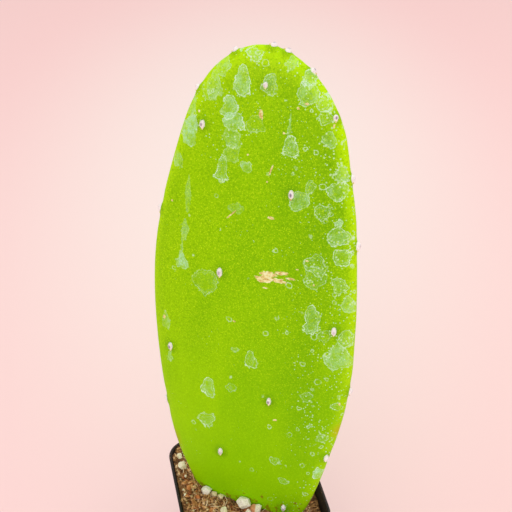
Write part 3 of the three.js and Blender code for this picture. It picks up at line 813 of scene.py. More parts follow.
def padSkinMaterial():
    # Waxy cactus epidermis over green flesh: matt, finely speckled where the pores let the yellow
    # through, milky where hard water dried, with painted light along the rim, at the base and at the tip, and
    # painted shade round the areoles.
    material, add, shader, place = newMaterial(
        "waxy cactus skin",
        {
            "Roughness": 0.52,
            "IOR": 1.42,
            "Specular IOR Level": 0.06,
            "Subsurface Weight": 0.12,
            "Subsurface Radius": (0.9, 1.0, 0.15),
            "Subsurface Scale": 0.0025,
        },
    )
    spot = add("Attribute", {"attribute_name": "padSpot"}).outputs["Vector"]
    parts = add("SeparateXYZ", inputs=(spot,))
    # broad colour: brighter at the base, painted light that makes up for the shade of the pot and mix; darker
    # in the middle; yellower and brighter to the tip, partly the skin's own colour and partly a painted
    # highlight; lighter at the left, painted light
    height = add("MapRange", {}, {"Value": parts.outputs["Z"], "From Max": 0.203})
    heightToneAndLight = add(
        "ValToRGB",
        {
            "stops": [
                (0.0, "#9adf00"), (0.12, "#99dc00"), (0.3, "#98d800"), (0.52, "#8ccb00"), (0.7, "#8ecc00"),
                (0.84, "#a0da06"), (0.93, "#b8ea12"), (1.0, "#d0f63c"),
            ],
        },
        (height,),
    )
    lengthwise = add("Mapping", inputs={"Vector": spot, "Scale": (1, 1, 0.4)})
    clouds = add("TexNoise", inputs={"Vector": lengthwise, "Scale": grain(17), "Detail": 3})
    clouded = add("ValToRGB", {"stops": [(0.38, "#7cbe00"), (0.62, "#a4de00")]}, (clouds,))
    base = add("Mix", asColour, {0: 0.5, 6: heightToneAndLight, 7: clouded})
    # painted light and shade across the pad: lighter at the left edge, darker right of the middle, brighter
    # again at the right edge
    sideways = add("MapRange", {}, {"Value": parts.outputs["X"], "From Min": -0.044, "From Max": 0.044})
    sideLightAndShade = add(
        "ValToRGB",
        {
            "stops": [
                (0.0, "#a8de0c"), (0.1, "#9cd602"), (0.25, "#96d200"), (0.55, "#8aca00"), (0.82, "#74b400"),
                (0.92, "#8ccc02"), (1.0, "#b8ec1a"),
            ],
        },
        (sideways,),
    )
    lit = add("Mix", asColour, {0: 0.5, 6: base.outputs[2], 7: sideLightAndShade})
    # painted light: the thin rim is painted brighter, as if light came through it, most of all round the tip
    # and at the right
    edge = add("Attribute", {"attribute_name": "edgeShare"}).outputs["Fac"]
    glow = add("MapRange", smoothly, {"Value": edge, "From Min": 0.9, "From Max": 1.0, "To Max": 0.9})
    tipGlow = add("MapRange", {}, {0: parts.outputs["Z"], 1: 0.05, 2: 0.17, 3: 0.15, 4: 0.8})
    rightGlow = add("MapRange", {}, {0: parts.outputs["X"], 1: 0.0, 2: 0.03, 3: 0.0, 4: 0.2})
    glowShare = add("Math", {"operation": "ADD", "use_clamp": True}, (tipGlow, rightGlow))
    rimShare = add("Math", "MULTIPLY", (glow, glowShare))
    rimLit = add("Mix", asColour, {0: rimShare, 6: lit.outputs[2], 7: linear("#c6ff04")})
    # painted shade: a darker green ring round each areole, as the shade in its dimple
    gap = add("Attribute", {"attribute_name": "areoleGap"}).outputs["Fac"]
    areoleShade = add("MapRange", smoothly, {"Value": gap, "From Min": 0.0048, "From Max": 0.0016, "To Max": 0.5})
    areoleShaded = add("Mix", asColour, {0: areoleShade, 6: rimLit.outputs[2], 7: linear("#66a006")})
    # pores: pale yellow dots about 0.5 mm apart on a darker mesh
    pores = add("TexVoronoi", {"feature": "F1"}, {"Vector": place, "Scale": grain(0.56)})
    poreDots = add("MapRange", smoothly, {"Value": pores, "From Min": 0.48, "From Max": 0.2})
    fleck = add("TexNoise", inputs={"Vector": place, "Scale": grain(0.9), "Detail": 3, "Roughness": 0.7})
    fleckShare = add("MapRange", smoothly, {"Value": fleck, "From Min": 0.36, "From Max": 0.64})
    coarse = add(
        "MapRange", smoothly,
        {"Value": parts.outputs["Z"], "From Min": 0.02, "From Max": 0.12, "To Min": 0.3, "To Max": 0.95},
    )
    plainSpeckle = add("Math", "MULTIPLY", (poreDots, fleckShare))
    speckle = add("Math", {"operation": "MULTIPLY", "use_clamp": True}, (plainSpeckle, coarse))
    speckled = add("Mix", asColour, {0: speckle, 6: areoleShaded.outputs[2], 7: linear("#caf61c")})
    darkShare = add(
        "MapRange", smoothly, {"Value": fleck, "From Min": 0.52, "From Max": 0.32, "To Max": 0.42},
    )
    darkFlecks = add("Math", "MULTIPLY", (darkShare, coarse))
    grained = add("Mix", asColour, {0: darkFlecks, 6: speckled.outputs[2], 7: linear("#609c00")})
    # dried water, two layers of drops
    wander = add("TexNoise", inputs={"Vector": place, "Scale": grain(1.5), "Detail": 4, "Roughness": 0.65})
    broadWander = add("TexNoise", inputs={"Vector": place, "Scale": grain(5), "Detail": 1})
    broadBy = add("Math", "MULTIPLY_ADD", (broadWander, 3.6, -3.5))
    wanderBy = add("Math", "MULTIPLY_ADD", (wander, 3.4, broadBy))
    patchy = add("TexNoise", inputs={"Vector": place, "Scale": grain(3.5), "Detail": 3})
    patchShare = add(
        "MapRange", smoothly, {"Value": patchy, "From Min": 0.36, "From Max": 0.6, "To Min": 0.18},
    )
    lineBreaks = add("MapRange", {}, {0: patchy, 1: 0.36, 2: 0.56, 3: 0.35, 4: 1.15})
    mist = add("TexNoise", inputs={"Vector": place, "Scale": grain(0.8), "Detail": 3, "Roughness": 0.7})
    misted = add("MapRange", {}, {0: mist, 1: 0.36, 2: 0.62, 3: 0.3, 4: 1.4})
    colour = grained.outputs[2]
    reliefs, nearMarks = [], []
    for layer in ("marksUnder", "marksOver"):
        field = add("SeparateXYZ", inputs=(add("Attribute", {"attribute_name": layer}).outputs["Vector"],))
        edge = add("Math", "ADD", (field.outputs["X"], wanderBy))
        within = add("MapRange", smoothly, {"Value": edge, "From Min": 0.12, "From Max": -0.15})
        thin = add("Math", "POWER", (field.outputs["Y"], 1.6))
        milk = add("Math", "MULTIPLY", (within, thin))
        milkPatch = add("Math", "MULTIPLY", (milk, patchShare))
        mottled = add("Math", {"operation": "MULTIPLY", "use_clamp": True}, (milkPatch, misted))
        fromEdge = add("Math", "ABSOLUTE", (edge,))
        onLine = add("MapRange", smoothly, {"Value": fromEdge, "From Min": 0.25, "From Max": 0.1})
        # a fainter tide line further in
        inward = add("Math", "ADD", (edge, 1.05))
        fromInner = add("Math", "ABSOLUTE", (inward,))
        onInner = add(
            "MapRange", smoothly, {"Value": fromInner, "From Min": 0.3, "From Max": 0.05, "To Max": 0.35},
        )
        bothLines = add("Math", "MAXIMUM", (onLine, onInner))
        ring = add("Math", "MULTIPLY", (bothLines, field.outputs["Z"]))
        broken = add("Math", {"operation": "MULTIPLY", "use_clamp": True}, (ring, lineBreaks))
        filmShare = add("Math", "MULTIPLY", (mottled, 1.05))
        milky = add("Mix", asColour, {0: filmShare, 6: colour, 7: linear("#b6f0b4")})
        outlined = add("Mix", asColour, {0: broken, 6: milky.outputs[2], 7: linear("#d6ffd4")})
        colour = outlined.outputs[2]
        reliefs.append(broken)
        nearMarks.append(
            add("MapRange", {}, {"Value": edge, "From Min": 2.6, "From Max": 0.0, "To Max": 0.07}),
        )
    # fine spray: white specks, thicker to the right edge and near the tip
    spray = add("TexVoronoi", {"feature": "F1"}, {"Vector": place, "Scale": grain(1.5)})
    sprayField = add("TexNoise", inputs={"Vector": place, "Scale": grain(12), "Detail": 3})
    rightward = add(
        "MapRange", smoothly,
        {"Value": parts.outputs["X"], "From Min": 0.004, "From Max": 0.036, "To Max": 0.15},
    )
    upward = add(
        "MapRange", smoothly,
        {"Value": parts.outputs["Z"], "From Min": 0.12, "From Max": 0.19, "To Max": 0.1},
    )
    sides = add("Math", "ADD", (rightward, upward))
    aroundMarks = add("Math", "ADD", tuple(nearMarks))
    thickest = add("Math", "ADD", (sides, aroundMarks))
    dotSize = add("Math", "MULTIPLY_ADD", (sprayField, 0.5, thickest))
    dotLimit = add("Math", "SUBTRACT", (dotSize, 0.24))
    isDot = add("Math", "LESS_THAN", (spray, dotLimit))
    # small round drops that dried to a ring, more of them at the right
    drops = add("TexVoronoi", {"feature": "F1"}, {"Vector": place, "Scale": grain(4.4)})
    chance = add("SeparateColor", inputs=(drops.outputs["Color"],))
    dropSize = add("Math", "MULTIPLY_ADD", (chance.outputs[0], 0.2, 0.1))
    ragged = add("Math", "MULTIPLY_ADD", (wander, 0.5, drops))
    evened = add("Math", "SUBTRACT", (ragged, 0.25))
    ringGap = add("Math", "SUBTRACT", (evened, dropSize))
    ringNear = add("Math", "ABSOLUTE", (ringGap,))
    ringLine = add("MapRange", smoothly, {"Value": ringNear, "From Min": 0.055, "From Max": 0.015})
    luck = add("Math", "MULTIPLY_ADD", (sides, 2.4, chance.outputs[1]))
    lucky = add("Math", "GREATER_THAN", (luck, 0.95))
    luckyRing = add("Math", "MULTIPLY", (ringLine, lucky))
    ringShare = add("Math", "MULTIPLY", (luckyRing, patchShare))
    sprayDots = add("Math", "MULTIPLY", (isDot, 0.85))
    anyDrop = add("Math", "MAXIMUM", (sprayDots, ringShare))
    dotShare = add("Math", "MULTIPLY", (anyDrop, 0.68))
    sprayed = add("Mix", asColour, {0: dotShare, 6: colour, 7: linear("#d8ffd0")})
    # rusty tinges on the rim: low at the left, and lower right
    for tinge in pad["tinges"]:
        reach = add("VectorMath", "DISTANCE", (spot, [v * mm for v in tinge["at"]]))
        near = add(
            "MapRange", smoothly,
            {0: reach.outputs["Value"], 1: tinge["reach"] * mm, 2: 0.0, 3: 0.0, 4: tinge["strength"]},
        )
        onRim = add("Math", "MULTIPLY", (near, glow))
        sprayed = add("Mix", asColour, {0: onRim, 6: sprayed.outputs[2], 7: linear(tinge["colour"])})
    # soil-brown spots low down
    rust = add("TexNoise", inputs={"Vector": place, "Scale": grain(2.6), "Detail": 4})
    low = add(
        "MapRange", smoothly,
        {"Value": parts.outputs["Z"], "From Min": 0.014, "From Max": 0.002, "To Max": 0.26},
    )
    lowMask = add("Math", "ADD", (rust, low))
    rusty = add("MapRange", smoothly, {"Value": lowMask, "From Min": 0.8, "From Max": 0.88, "To Max": 0.7})
    browned = add("Mix", asColour, {0: rusty, 6: sprayed.outputs[2], 7: linear("#8a6a14")})
    crust = add("Math", "ADD", tuple(reliefs))
    fineRise = add("Math", "MULTIPLY_ADD", (poreDots, 0.6, fleck))
    fine = add("Bump", inputs={"Strength": 0.35, "Distance": 0.00012, "Height": fineRise})
    crusted = add("Bump", inputs={"Strength": 0.4, "Distance": 0.00012, "Height": crust, "Normal": fine})
    feed(shader, {"Base Color": browned.outputs[2], "Normal": crusted})
    return material


padSkin = buildPad()
skinTree = BVHTree.FromPolygons(
    [v.co.copy() for v in padSkin.data.vertices], [tuple(p.vertices) for p in padSkin.data.polygons]
)
print("pad built")

# Cork: scabs where the skin was grazed. Each: across, up, half length, half height, tilt in degrees.
corkScars = {
    "places": [
        (7.4, 115.1, 3.6, 1.25, 4),
        (13.2, 116.5, 3.2, 0.8, 6),
        (6.0, 112.6, 3.4, 1.5, 0),
        (11.4, 113.2, 3.8, 0.95, -4),
        (16.8, 114.8, 2.1, 0.5, 2),
        (6.7, 109.0, 1.1, 0.35, 0),
        (19.2, 119.3, 0.6, 0.3, 0),
        (0.6, 178, 0.8, 1.9, 8),
        (6.1, 157.5, 2.4, 0.35, 72),
        (7.4, 138.6, 1.3, 0.6, -6),
        (-8.8, 137.2, 3.0, 0.3, 46),
        (17.6, 184, 0.8, 0.55, 20),
        (14.5, 182, 0.6, 0.5, 0),
        (28.2, 176.8, 0.4, 0.9, 0),
        (-3.5, 162, 0.45, 0.4, 0),
        (-24.7, 175.2, 0.5, 0.45, 0),
        (4.9, 152.7, 0.4, 0.4, 0),
        (22.8, 123.5, 0.8, 0.35, 0),
        (-37.5, 85.4, 0.7, 1.1, 0),
        (-5.6, 91.5, 0.7, 0.35, -8),
        (39.7, 61.2, 0.4, 0.7, 0),
        (13.8, 48.7, 1.0, 0.5, 10),
        (10, 172.2, 0.5, 0.5, 0),
        (26.2, 113.8, 0.4, 0.4, 0),
        (-34.8, 137.7, 0.5, 0.4, 0),
    ],
    "thickness": 0.14,
    "spokes": 34,
}


def onFront(x, z):
    # a place on the front skin, and its normal, from across and up
    start = padPlace @ (Vector((x, -40, z)) * mm)
    heading = padPlace.to_3x3() @ Vector((0, 1, 0))
    found = skinTree.ray_cast(start, heading)
    return found[0], found[1]


def buildScars():
    points, faces = [], []
    for number, (x, z, halfLong, halfHigh, tilt) in enumerate(corkScars["places"]):
        spokes = corkScars["spokes"]
        tiltBy = math.radians(tilt)
        start = len(points)
        shares = (0.35, 0.7, 0.92, 1.06)
        heights = (1.0, 0.85, 0.4, -0.9)
        for share, height in zip(shares, heights):
            for k in range(spokes):
                angle = 2 * math.pi * k / spokes
                around = Vector((math.cos(angle), math.sin(angle), 0))
                ragged = 1 + 0.45 * noise.noise(around * 3 + Vector((0, 0, number * 3.7)))
                ragged += 0.35 * noise.noise(around * 8 + Vector((0, 0, number * 1.9)))
                a = share * ragged * halfLong * math.cos(angle)
                b = share * ragged * halfHigh * math.sin(angle)
                where, normal = onFront(
                    x + a * math.cos(tiltBy) - b * math.sin(tiltBy),
                    z + a * math.sin(tiltBy) + b * math.cos(tiltBy),
                )
                knock = 1 + 0.7 * noise.noise(Vector((a * 1.4, b * 4, number)))
                lift = corkScars["thickness"] * mm * height * (knock if height > 0 else 1)
                points.append(where + normal * lift)
        where, normal = onFront(x, z)
        points.append(where + normal * corkScars["thickness"] * mm)
        top = len(points) - 1
        points.append(where - normal * corkScars["thickness"] * mm * 1.4)
        under = len(points) - 1
        for k in range(spokes):
            j = (k + 1) % spokes
            faces.append((top, start + k, start + j))
            for ring in range(len(shares) - 1):
                a = start + ring * spokes
                faces.append((a + k, a + spokes + k, a + spokes + j, a + j))
            last = start + (len(shares) - 1) * spokes
            faces.append((last + k, under, last + j))
    piece = newObject("corkScars", meshFrom("corkScars", points, faces))
    smoothBelow(piece.data, 60, outward=True)
    # Cork that healed over a graze: dry, tan, paler where it flakes, in streaks along the graze.
    material, add, shader, place = newMaterial("healed cork", {"Roughness": 0.85, "Specular IOR Level": 0.2})
    drawn = add(
        "Mapping",
        inputs={"Vector": place, "Rotation": (0, 0, -math.radians(pad["turn"])), "Scale": (0.22, 1, 1)},
    )
    streaks = add("TexNoise", inputs={"Vector": drawn, "Scale": grain(0.9), "Detail": 4, "Roughness": 0.65})
    tint = add(
        "ValToRGB", {"stops": [(0.36, "#c4a85a"), (0.46, "#e4d688"), (0.54, "#eef0a8"), (0.66, "#f8fdd6")]},
        (streaks,),
    )
    flaky = add("Bump", inputs={"Strength": 0.6, "Distance": 0.0002, "Height": streaks})
    feed(shader, {"Base Color": tint, "Normal": flaky})
    piece.data.materials.append(material)
    finishPiece(piece, "pad_skin")


# Litter and wool: small shapes strewn over a surface and turned at random
def strewTree():
    tree, add, given = newTree(
        "strewn",
        {
            "Density": ("Float", 1e6),
            "Seed": ("Int", 1),
            "Smallest": ("Float", 0.0005),
            "Largest": ("Float", 0.001),
            "Tilt": ("Float", 0.3),
            "Lift": ("Float", 0.0),
            "Pad Margin": ("Float", -1.0),
            "Wall Margin": ("Float", -1.0),
            "Lumpiness": ("Float", 0.0),
            "Lump Size": ("Float", 0.001),
            "Keep Ground": ("Bool", False),
            "Shapes": ("Collection", None),
            "Finish": ("Material", None),
        },
    )
    padGap = add("GeometryNodeInputNamedAttribute", {"data_type": "FLOAT"}, {"Name": "padGap"})
    wallGap = add("GeometryNodeInputNamedAttribute", {"data_type": "FLOAT"}, {"Name": "wallGap"})
    offPad = add(
        "FunctionNodeCompare", {"data_type": "FLOAT", "operation": "GREATER_THAN"},
        (padGap, given["Pad Margin"]),
    )
    offWall = add(
        "FunctionNodeCompare", {"data_type": "FLOAT", "operation": "GREATER_THAN"},
        (wallGap, given["Wall Margin"]),
    )
    allowed = add("FunctionNodeBooleanMath", "AND", (offPad, offWall))
    strewn = add(
        "GeometryNodeDistributePointsOnFaces",
        inputs={
            "Mesh": given["Geometry"], "Selection": allowed, "Density": given["Density"],
            "Seed": given["Seed"],
        },
    )
    lowest = add("Math", "MULTIPLY", (given["Tilt"], -1.0))
    least = add("CombineXYZ", inputs=(lowest, lowest, 0.0))
    most = add("CombineXYZ", inputs=(given["Tilt"], given["Tilt"], 2 * math.pi))
    spin = add(
        "FunctionNodeRandomValue", {"data_type": "FLOAT_VECTOR"},
        {0: least, 1: most, "Seed": given["Seed"]},
    )
    spun = add(
        "FunctionNodeRotateRotation", {"rotation_space": "LOCAL"},
        {"Rotation": strewn.outputs["Rotation"], "Rotate By": spin.outputs[0]},
    )
    sizeSeed = add("Math", "ADD", (given["Seed"], 11.0))
    share = add("FunctionNodeRandomValue", {"data_type": "FLOAT"}, {2: 0.0, 3: 1.0, "Seed": sizeSeed})
    small = add("Math", "POWER", (share.outputs[1], 2.0))
    size = add("MapRange", {}, {0: small, 3: given["Smallest"], 4: given["Largest"]})
    pickSeed = add("Math", "ADD", (given["Seed"], 23.0))
    pick = add("FunctionNodeRandomValue", {"data_type": "INT"}, {4: 0, 5: 99, "Seed": pickSeed})
    shapes = add(
        "GeometryNodeCollectionInfo",
        inputs={"Collection": given["Shapes"], "Separate Children": True, "Reset Children": True},
    )
    laid = add(
        "GeometryNodeInstanceOnPoints",
        inputs={
            "Points": strewn.outputs["Points"], "Instance": shapes, "Pick Instance": True,
            "Instance Index": pick.outputs[2], "Rotation": spun, "Scale": size,
        },
    )
    lift = add("CombineXYZ", inputs=(0.0, 0.0, given["Lift"]))
    lifted = add("GeometryNodeTranslateInstances", inputs={"Instances": laid, "Translation": lift})
    tintSeed = add("Math", "ADD", (given["Seed"], 37.0))
    tint = add("FunctionNodeRandomValue", {"data_type": "FLOAT"}, {2: 0.0, 3: 1.0, "Seed": tintSeed})
    tinted = add(
        "GeometryNodeStoreNamedAttribute", {"data_type": "FLOAT", "domain": "INSTANCE"},
        {"Geometry": lifted, "Name": "tint", "Value": tint.outputs[1]},
    )
    loose = add("GeometryNodeRealizeInstances", inputs=(tinted,))
    lumpScale = add("Math", "DIVIDE", (1.0, given["Lump Size"]))
    lumps = add("TexNoise", inputs={"Scale": lumpScale, "Detail": 2.0})
    centred = add("VectorMath", "SUBTRACT", (lumps.outputs["Color"], (0.5, 0.5, 0.5)))
    knocked = add("VectorMath", "SCALE", {"Vector": centred, "Scale": given["Lumpiness"]})
    lumpy = add("GeometryNodeSetPosition", inputs={"Geometry": loose, "Offset": knocked})
    ground = add(
        "GeometryNodeSwitch", {"input_type": "GEOMETRY"},
        {"Switch": given["Keep Ground"], "True": given["Geometry"]},
    )
    joined = add("GeometryNodeJoinGeometry")
    feed(joined, (ground,))
    feed(joined, (lumpy,))
    whole = add("GeometryNodeRealizeInstances", inputs=(joined,))
    dressed = add("GeometryNodeSetMaterial", inputs={"Geometry": whole, "Material": given["Finish"]})
    add("NodeGroupOutput", inputs=(dressed,))
    return tree


strewn = strewTree()


def crumbMesh(name, number, stretch, lump):
    work = bmesh.new()
    bmesh.ops.create_icosphere(work, subdivisions=2, radius=0.5)
    for vert in work.verts:
        vert.co *= 1 + lump * noise.noise(vert.co * 3.1 + Vector((number * 5.3, 0, 0)))
        vert.co = Vector((vert.co.x * stretch[0], vert.co.y * stretch[1], vert.co.z * stretch[2]))
    mesh = bpy.data.meshes.new(name)
    work.to_mesh(mesh)
    work.free()
    mesh.shade_smooth()
    return mesh


def threadMesh(name, number, thickness, curl, sides, steps, upright=False):
    # a curved thread of unit length, thinner to its ends
    points, faces = [], []
    for i in range(steps + 1):
        t = i / steps
        bendA = curl * (noise.noise(Vector((t * 1.6, number * 4.1, 0))) + 0.5 * math.sin(t * 3 + number) * t)
        bendB = curl * noise.noise(Vector((t * 1.9, 7.7, number * 2.9)))
        middle = Vector((t, bendA, bendB)) if not upright else Vector((bendA, bendB, t))
        if not upright:
            middle -= Vector((0.5, 0, 0))
        radius = thickness * (0.35 + 0.65 * math.sin(math.pi * (0.12 + 0.8 * t)))
        for k in range(sides):
            angle = 2 * math.pi * k / sides
            a, b = radius * math.cos(angle), radius * math.sin(angle)
            points.append(middle + (Vector((0, a, b)) if not upright else Vector((a, b, 0))))
    for i in range(steps):
        for k in range(sides):
            j = (k + 1) % sides
            faces.append((i * sides + k, i * sides + j, (i + 1) * sides + j, (i + 1) * sides + k))
    faces.append(tuple(range(sides)))
    faces.append(tuple(steps * sides + k for k in reversed(range(sides))))
    mesh = meshFrom(name, points, faces)
    smoothBelow(mesh, 70, outward=True)
    return mesh


def gather(name, meshes):
    shapes = bpy.data.collections.new(name)
    for mesh in meshes:
        shapes.objects.link(bpy.data.objects.new(mesh.name, mesh))
    return shapes


def strew(ground, name, shapes, values):
    holder = newObject(name + "Ground", ground.data.copy())
    piece = growTree(holder, strewn, name, {**values, "Shapes": shapes})
    for shape in list(shapes.objects):
        bpy.data.objects.remove(shape)
    bpy.data.collections.remove(shapes)
    return piece


areole = {
    "width": 2.15,
    "height": 3.9,
    "tipHeight": 2.7,  # near the tip they are rounder
    "bulge": 1.3,
    "proud": 0.65,  # from the seat of the tuft to the middle of its solid
    "hairsPerMm": 21,  # for each square millimetre of felt
    "shortestHair": 0.2,
    "longestHair": 0.42,
    "scarDrop": 1.95,  # from the middle of the tuft down to its leaf scar
    "scarWidth": 0.72,
    "scarHeight": 0.96,
}


def seatOf(centre):
    # where an areole sits: its place, its own up, its side and its way out
    where, away, _, _ = skinTree.find_nearest(centre)
    lengthwise = padPlace.to_3x3() @ Vector((0, 0, 1))
    away = (centre - where).normalized().lerp(away, 0.75).normalized()
    up = (lengthwise - away * lengthwise.dot(away)).normalized()
    if abs(lengthwise.dot(away)) > 0.93:
        across = padPlace.to_3x3() @ Vector((1, 0, 0))
        up = (across - away * across.dot(away)).normalized()
    return centre - away * areole["proud"] * mm, up, up.cross(away).normalized(), away


def ringFaces(start, rings, spokes):
    # faces between stacked rings of points, and one over each end
    last = start + (rings - 1) * spokes
    faces = [tuple(range(start, start + spokes)), tuple(reversed(range(last, last + spokes)))]
    for a in range(start, last, spokes):
        for k in range(spokes):
            j = (k + 1) % spokes
            faces.append((a + k, a + spokes + k, a + spokes + j, a + j))
    return faces


def buildAreoles():
    points, faces = [], []
    scarPoints, scarFaces = [], []
    outward = []
    # each: share of the width, height
    profile = ((0.1, 1.0), (0.38, 0.93), (0.62, 0.76), (0.82, 0.5), (0.95, 0.18), (1.0, -0.15), (0.85, -0.5))
    scarProfile = ((0.3, 0.5), (0.7, 0.42), (1.0, 0.1), (1.1, -0.4))
    spokes, scarSpokes = 22, 14
    for number, centre in enumerate(areoleCentres):
        where, up, side, away = seatOf(centre)
        size = 0.92 + 0.2 * noise.noise(Vector((number * 3.3, 1.7, 0)))
        nearTip = ease(150, 195, (padPlace.inverted() @ centre).z / mm)
        tall = areole["height"] + (areole["tipHeight"] - areole["height"]) * nearTip
        start = len(points)
        for share, height in profile:
            for k in range(spokes):
                angle = 2 * math.pi * k / spokes
                knock = 1 + 0.12 * noise.noise(
                    Vector((2 * math.cos(angle), 2 * math.sin(angle), number * 2.1)),
                )
                a = areole["width"] / 2 * share * math.cos(angle) * knock * size
                b = tall / 2 * share * math.sin(angle) * knock * size
                # fuller above than below, as the wool is pushed up by the leaf scar
                lift = areole["bulge"] * height * (1 + 0.25 * math.sin(angle) * share)
                points.append(where + (side * a + up * b + away * lift) * mm)
                outward.append(share)
        faces += ringFaces(start, len(profile), spokes)
        # the scar of the small leaf that grew under the tuft
        below = where - up * areole["scarDrop"] * size * tall / areole["height"] * mm
        seat, out, _, _ = skinTree.find_nearest(below)
        start = len(scarPoints)
        for share, height in scarProfile:
            for k in range(scarSpokes):
                angle = 2 * math.pi * k / scarSpokes
                knock = 1 + 0.3 * noise.noise(
                    Vector((2 * math.cos(angle), 2 * math.sin(angle), number * 5.1)),
                )
                offset = side * (areole["scarWidth"] / 2 * share * math.cos(angle) * knock)
                offset += up * (areole["scarHeight"] / 2 * share * math.sin(angle) * knock)
                scarPoints.append(seat + (offset + out * height) * mm)
        scarFaces += ringFaces(start, len(scarProfile), scarSpokes)
    seats = newObject("areoleSeats", meshFrom("areoleSeats", points, faces))
    smoothBelow(seats.data, 75, outward=True)
    keepFloats(seats.data, "padGap", outward)
    hairs = gather("hairs", [threadMesh(f"hair{i}", i, 0.055, 0.55, 3, 2, upright=True) for i in range(4)])
    wool = strew(
        seats,
        "areoleWool",
        hairs,
        {
            "Density": areole["hairsPerMm"] * 1e6,
            "Seed": 5,
            "Smallest": areole["shortestHair"] * mm,
            "Largest": areole["longestHair"] * mm,
            "Tilt": 0.95,
            "Pad Margin": 0.45,  # the middle of the felt stays bare
            "Keep Ground": True,
            "Finish": woolMaterial(),
        },
    )
    bpy.data.objects.remove(seats)
    finishPiece(wool, "areole_wool", *areoleNames)
    leafScars = newObject("leafScars", meshFrom("leafScars", scarPoints, scarFaces))
    smoothBelow(leafScars.data, 60, outward=True)
    # Dry leaf scars: tan cork, darker and redder on some.
    material, add, shader, place = newMaterial(
        "dry leaf scar", {"Roughness": 0.8, "Specular IOR Level": 0.2},
    )
    blotch = add("TexNoise", inputs={"Vector": place, "Scale": grain(0.6), "Detail": 4})
    wide = add("TexNoise", inputs={"Vector": place, "Scale": grain(40), "Detail": 1})
    mixed = add("Math", "MULTIPLY_ADD", (wide, 0.6, blotch))
    tint = add("ValToRGB", {"stops": [(0.6, "#ccb85c"), (0.76, "#eae48e"), (0.95, "#f8fac4")]}, (mixed,))
    rough = add("Bump", inputs={"Strength": 0.5, "Distance": 0.0001, "Height": blotch})
    feed(shader, {"Base Color": tint, "Normal": rough})
    leafScars.data.materials.append(material)
    finishPiece(leafScars, "areole_wool")


def woolMaterial():
    # Felted areole wool: off-white with a pink cast, grey-violet in its depths as painted shade; threads up
    # to 0.05 mm thick, coarser than real ones so that they show.
    material, add, shader, place = newMaterial(
        "felted areole wool",
        {"Roughness": 0.95, "Specular IOR Level": 0.1, "Sheen Weight": 0.35, "Sheen Roughness": 0.5},
    )
    strands = add("TexNoise", inputs={"Vector": place, "Scale": grain(0.35), "Detail": 4, "Roughness": 0.7})
    clumps = add("TexNoise", inputs={"Vector": place, "Scale": grain(1.3), "Detail": 3})
    both = add("Math", "MULTIPLY_ADD", (clumps, 0.6, strands))
    tint = add(
        "ValToRGB", {"stops": [(0.48, "#b4a8ad"), (0.6, "#e8e0e2"), (0.72, "#fbf7f7"), (0.9, "#ffffff")]},
        (both,),
    )
    felt = add("Bump", inputs={"Strength": 0.7, "Distance": 0.00015, "Height": strands})
    # painted shade: the bare middle of some tufts is grey-violet
    middle = add("Attribute", {"attribute_name": "padGap"}).outputs["Fac"]
    bare = add("MapRange", smoothly, {"Value": middle, "From Min": 0.68, "From Max": 0.2})
    tuftPick = add("TexNoise", inputs={"Vector": place, "Scale": grain(23), "Detail": 0})
    tuftPickShare = add("MapRange", {}, {0: tuftPick, 1: 0.35, 2: 0.6, 3: 0.25, 4: 0.95})
    paintedShadeShare = add("Math", "MULTIPLY", (bare, tuftPickShare))
    shadeGreyed = add("Mix", asColour, {0: paintedShadeShare, 6: tint.outputs[0], 7: linear("#84768a")})
    feed(shader, {"Base Color": shadeGreyed.outputs[2], "Normal": felt})
    return material


buildScars()
buildAreoles()
print("scars and areoles built")


# Potting mix: peat and coir, higher at the -X wall, with crumbs, fibres, chips and grit on top
mix = {
    "fallX": 6.2,
    "fallY": 1.2,
    "bump": 0.8,
    "clearance": 0.35,
    "fineLumps": 0.55,
    "rings": 84,
    "levels": (15, 30, 44),  # rings up the walls
    "topFrom": 45,  # the top face lies above this height
}
# What lies on the mix. "perMm" is for each square millimetre; the margins keep it off the pad and the wall.
litter = {
    "mixCrumbs": {
        "slot": "potting_mix",
        "perMm": 0.6,
        "Seed": 3,
        "Smallest": 0.5,
        "Largest": 2.8,
        "Tilt": 1.0,
        "Lift": 0.1,
        "Pad Margin": 0.5,
        "Wall Margin": 1.0,
        "Lumpiness": 0.7,
        "Lump Size": 0.9,
    },
    "coirFibres": {
        "slot": "coir",
        "perMm": 0.75,
        "Seed": 8,
        "Smallest": 2.2,
        "Largest": 8.5,
        "Tilt": 0.16,
        "Lift": 0.6,
        "Pad Margin": 0.4,
        "Wall Margin": 4.4,
        "Lumpiness": 0.0,
        "Lump Size": 1.0,
    },
    "mixChips": {
        "slot": "bark",
        "perMm": 0.09,
        "Seed": 12,
        "Smallest": 2.0,
        "Largest": 5.0,
        "Tilt": 0.5,
        "Lift": 0.5,
        "Pad Margin": 1.5,
        "Wall Margin": 2.6,
        "Lumpiness": 0.8,
        "Lump Size": 1.6,
    },
    "perliteGrit": {
        "slot": "perlite",
        "perMm": 0.05,
        "Seed": 21,
        "Smallest": 0.7,
        "Largest": 1.8,
        "Tilt": 1.5,
        "Lift": 0.5,
        "Pad Margin": 0.8,
        "Wall Margin": 1.0,
        "Lumpiness": 0.5,
        "Lump Size": 0.7,
    },
}


def mixHeight(x, y):
    lumps = math.sin(0.55 * x + 3.5) * math.cos(0.48 * y + 4.8) + 0.6 * math.sin(0.9 * y + 0.4 * x + 5.7)
    return soilLevel + (mix["fallY"] * y - mix["fallX"] * x) / pot["topWidth"] + mix["bump"] * lumps


def fineHeight(x, y):
    rough = noise.noise(Vector((x / 2.6, y / 2.6, 3.3))) + 0.5 * noise.noise(Vector((x / 1.1, y / 1.1, 9.1)))
    return mixHeight(x, y) + mix["fineLumps"] * rough


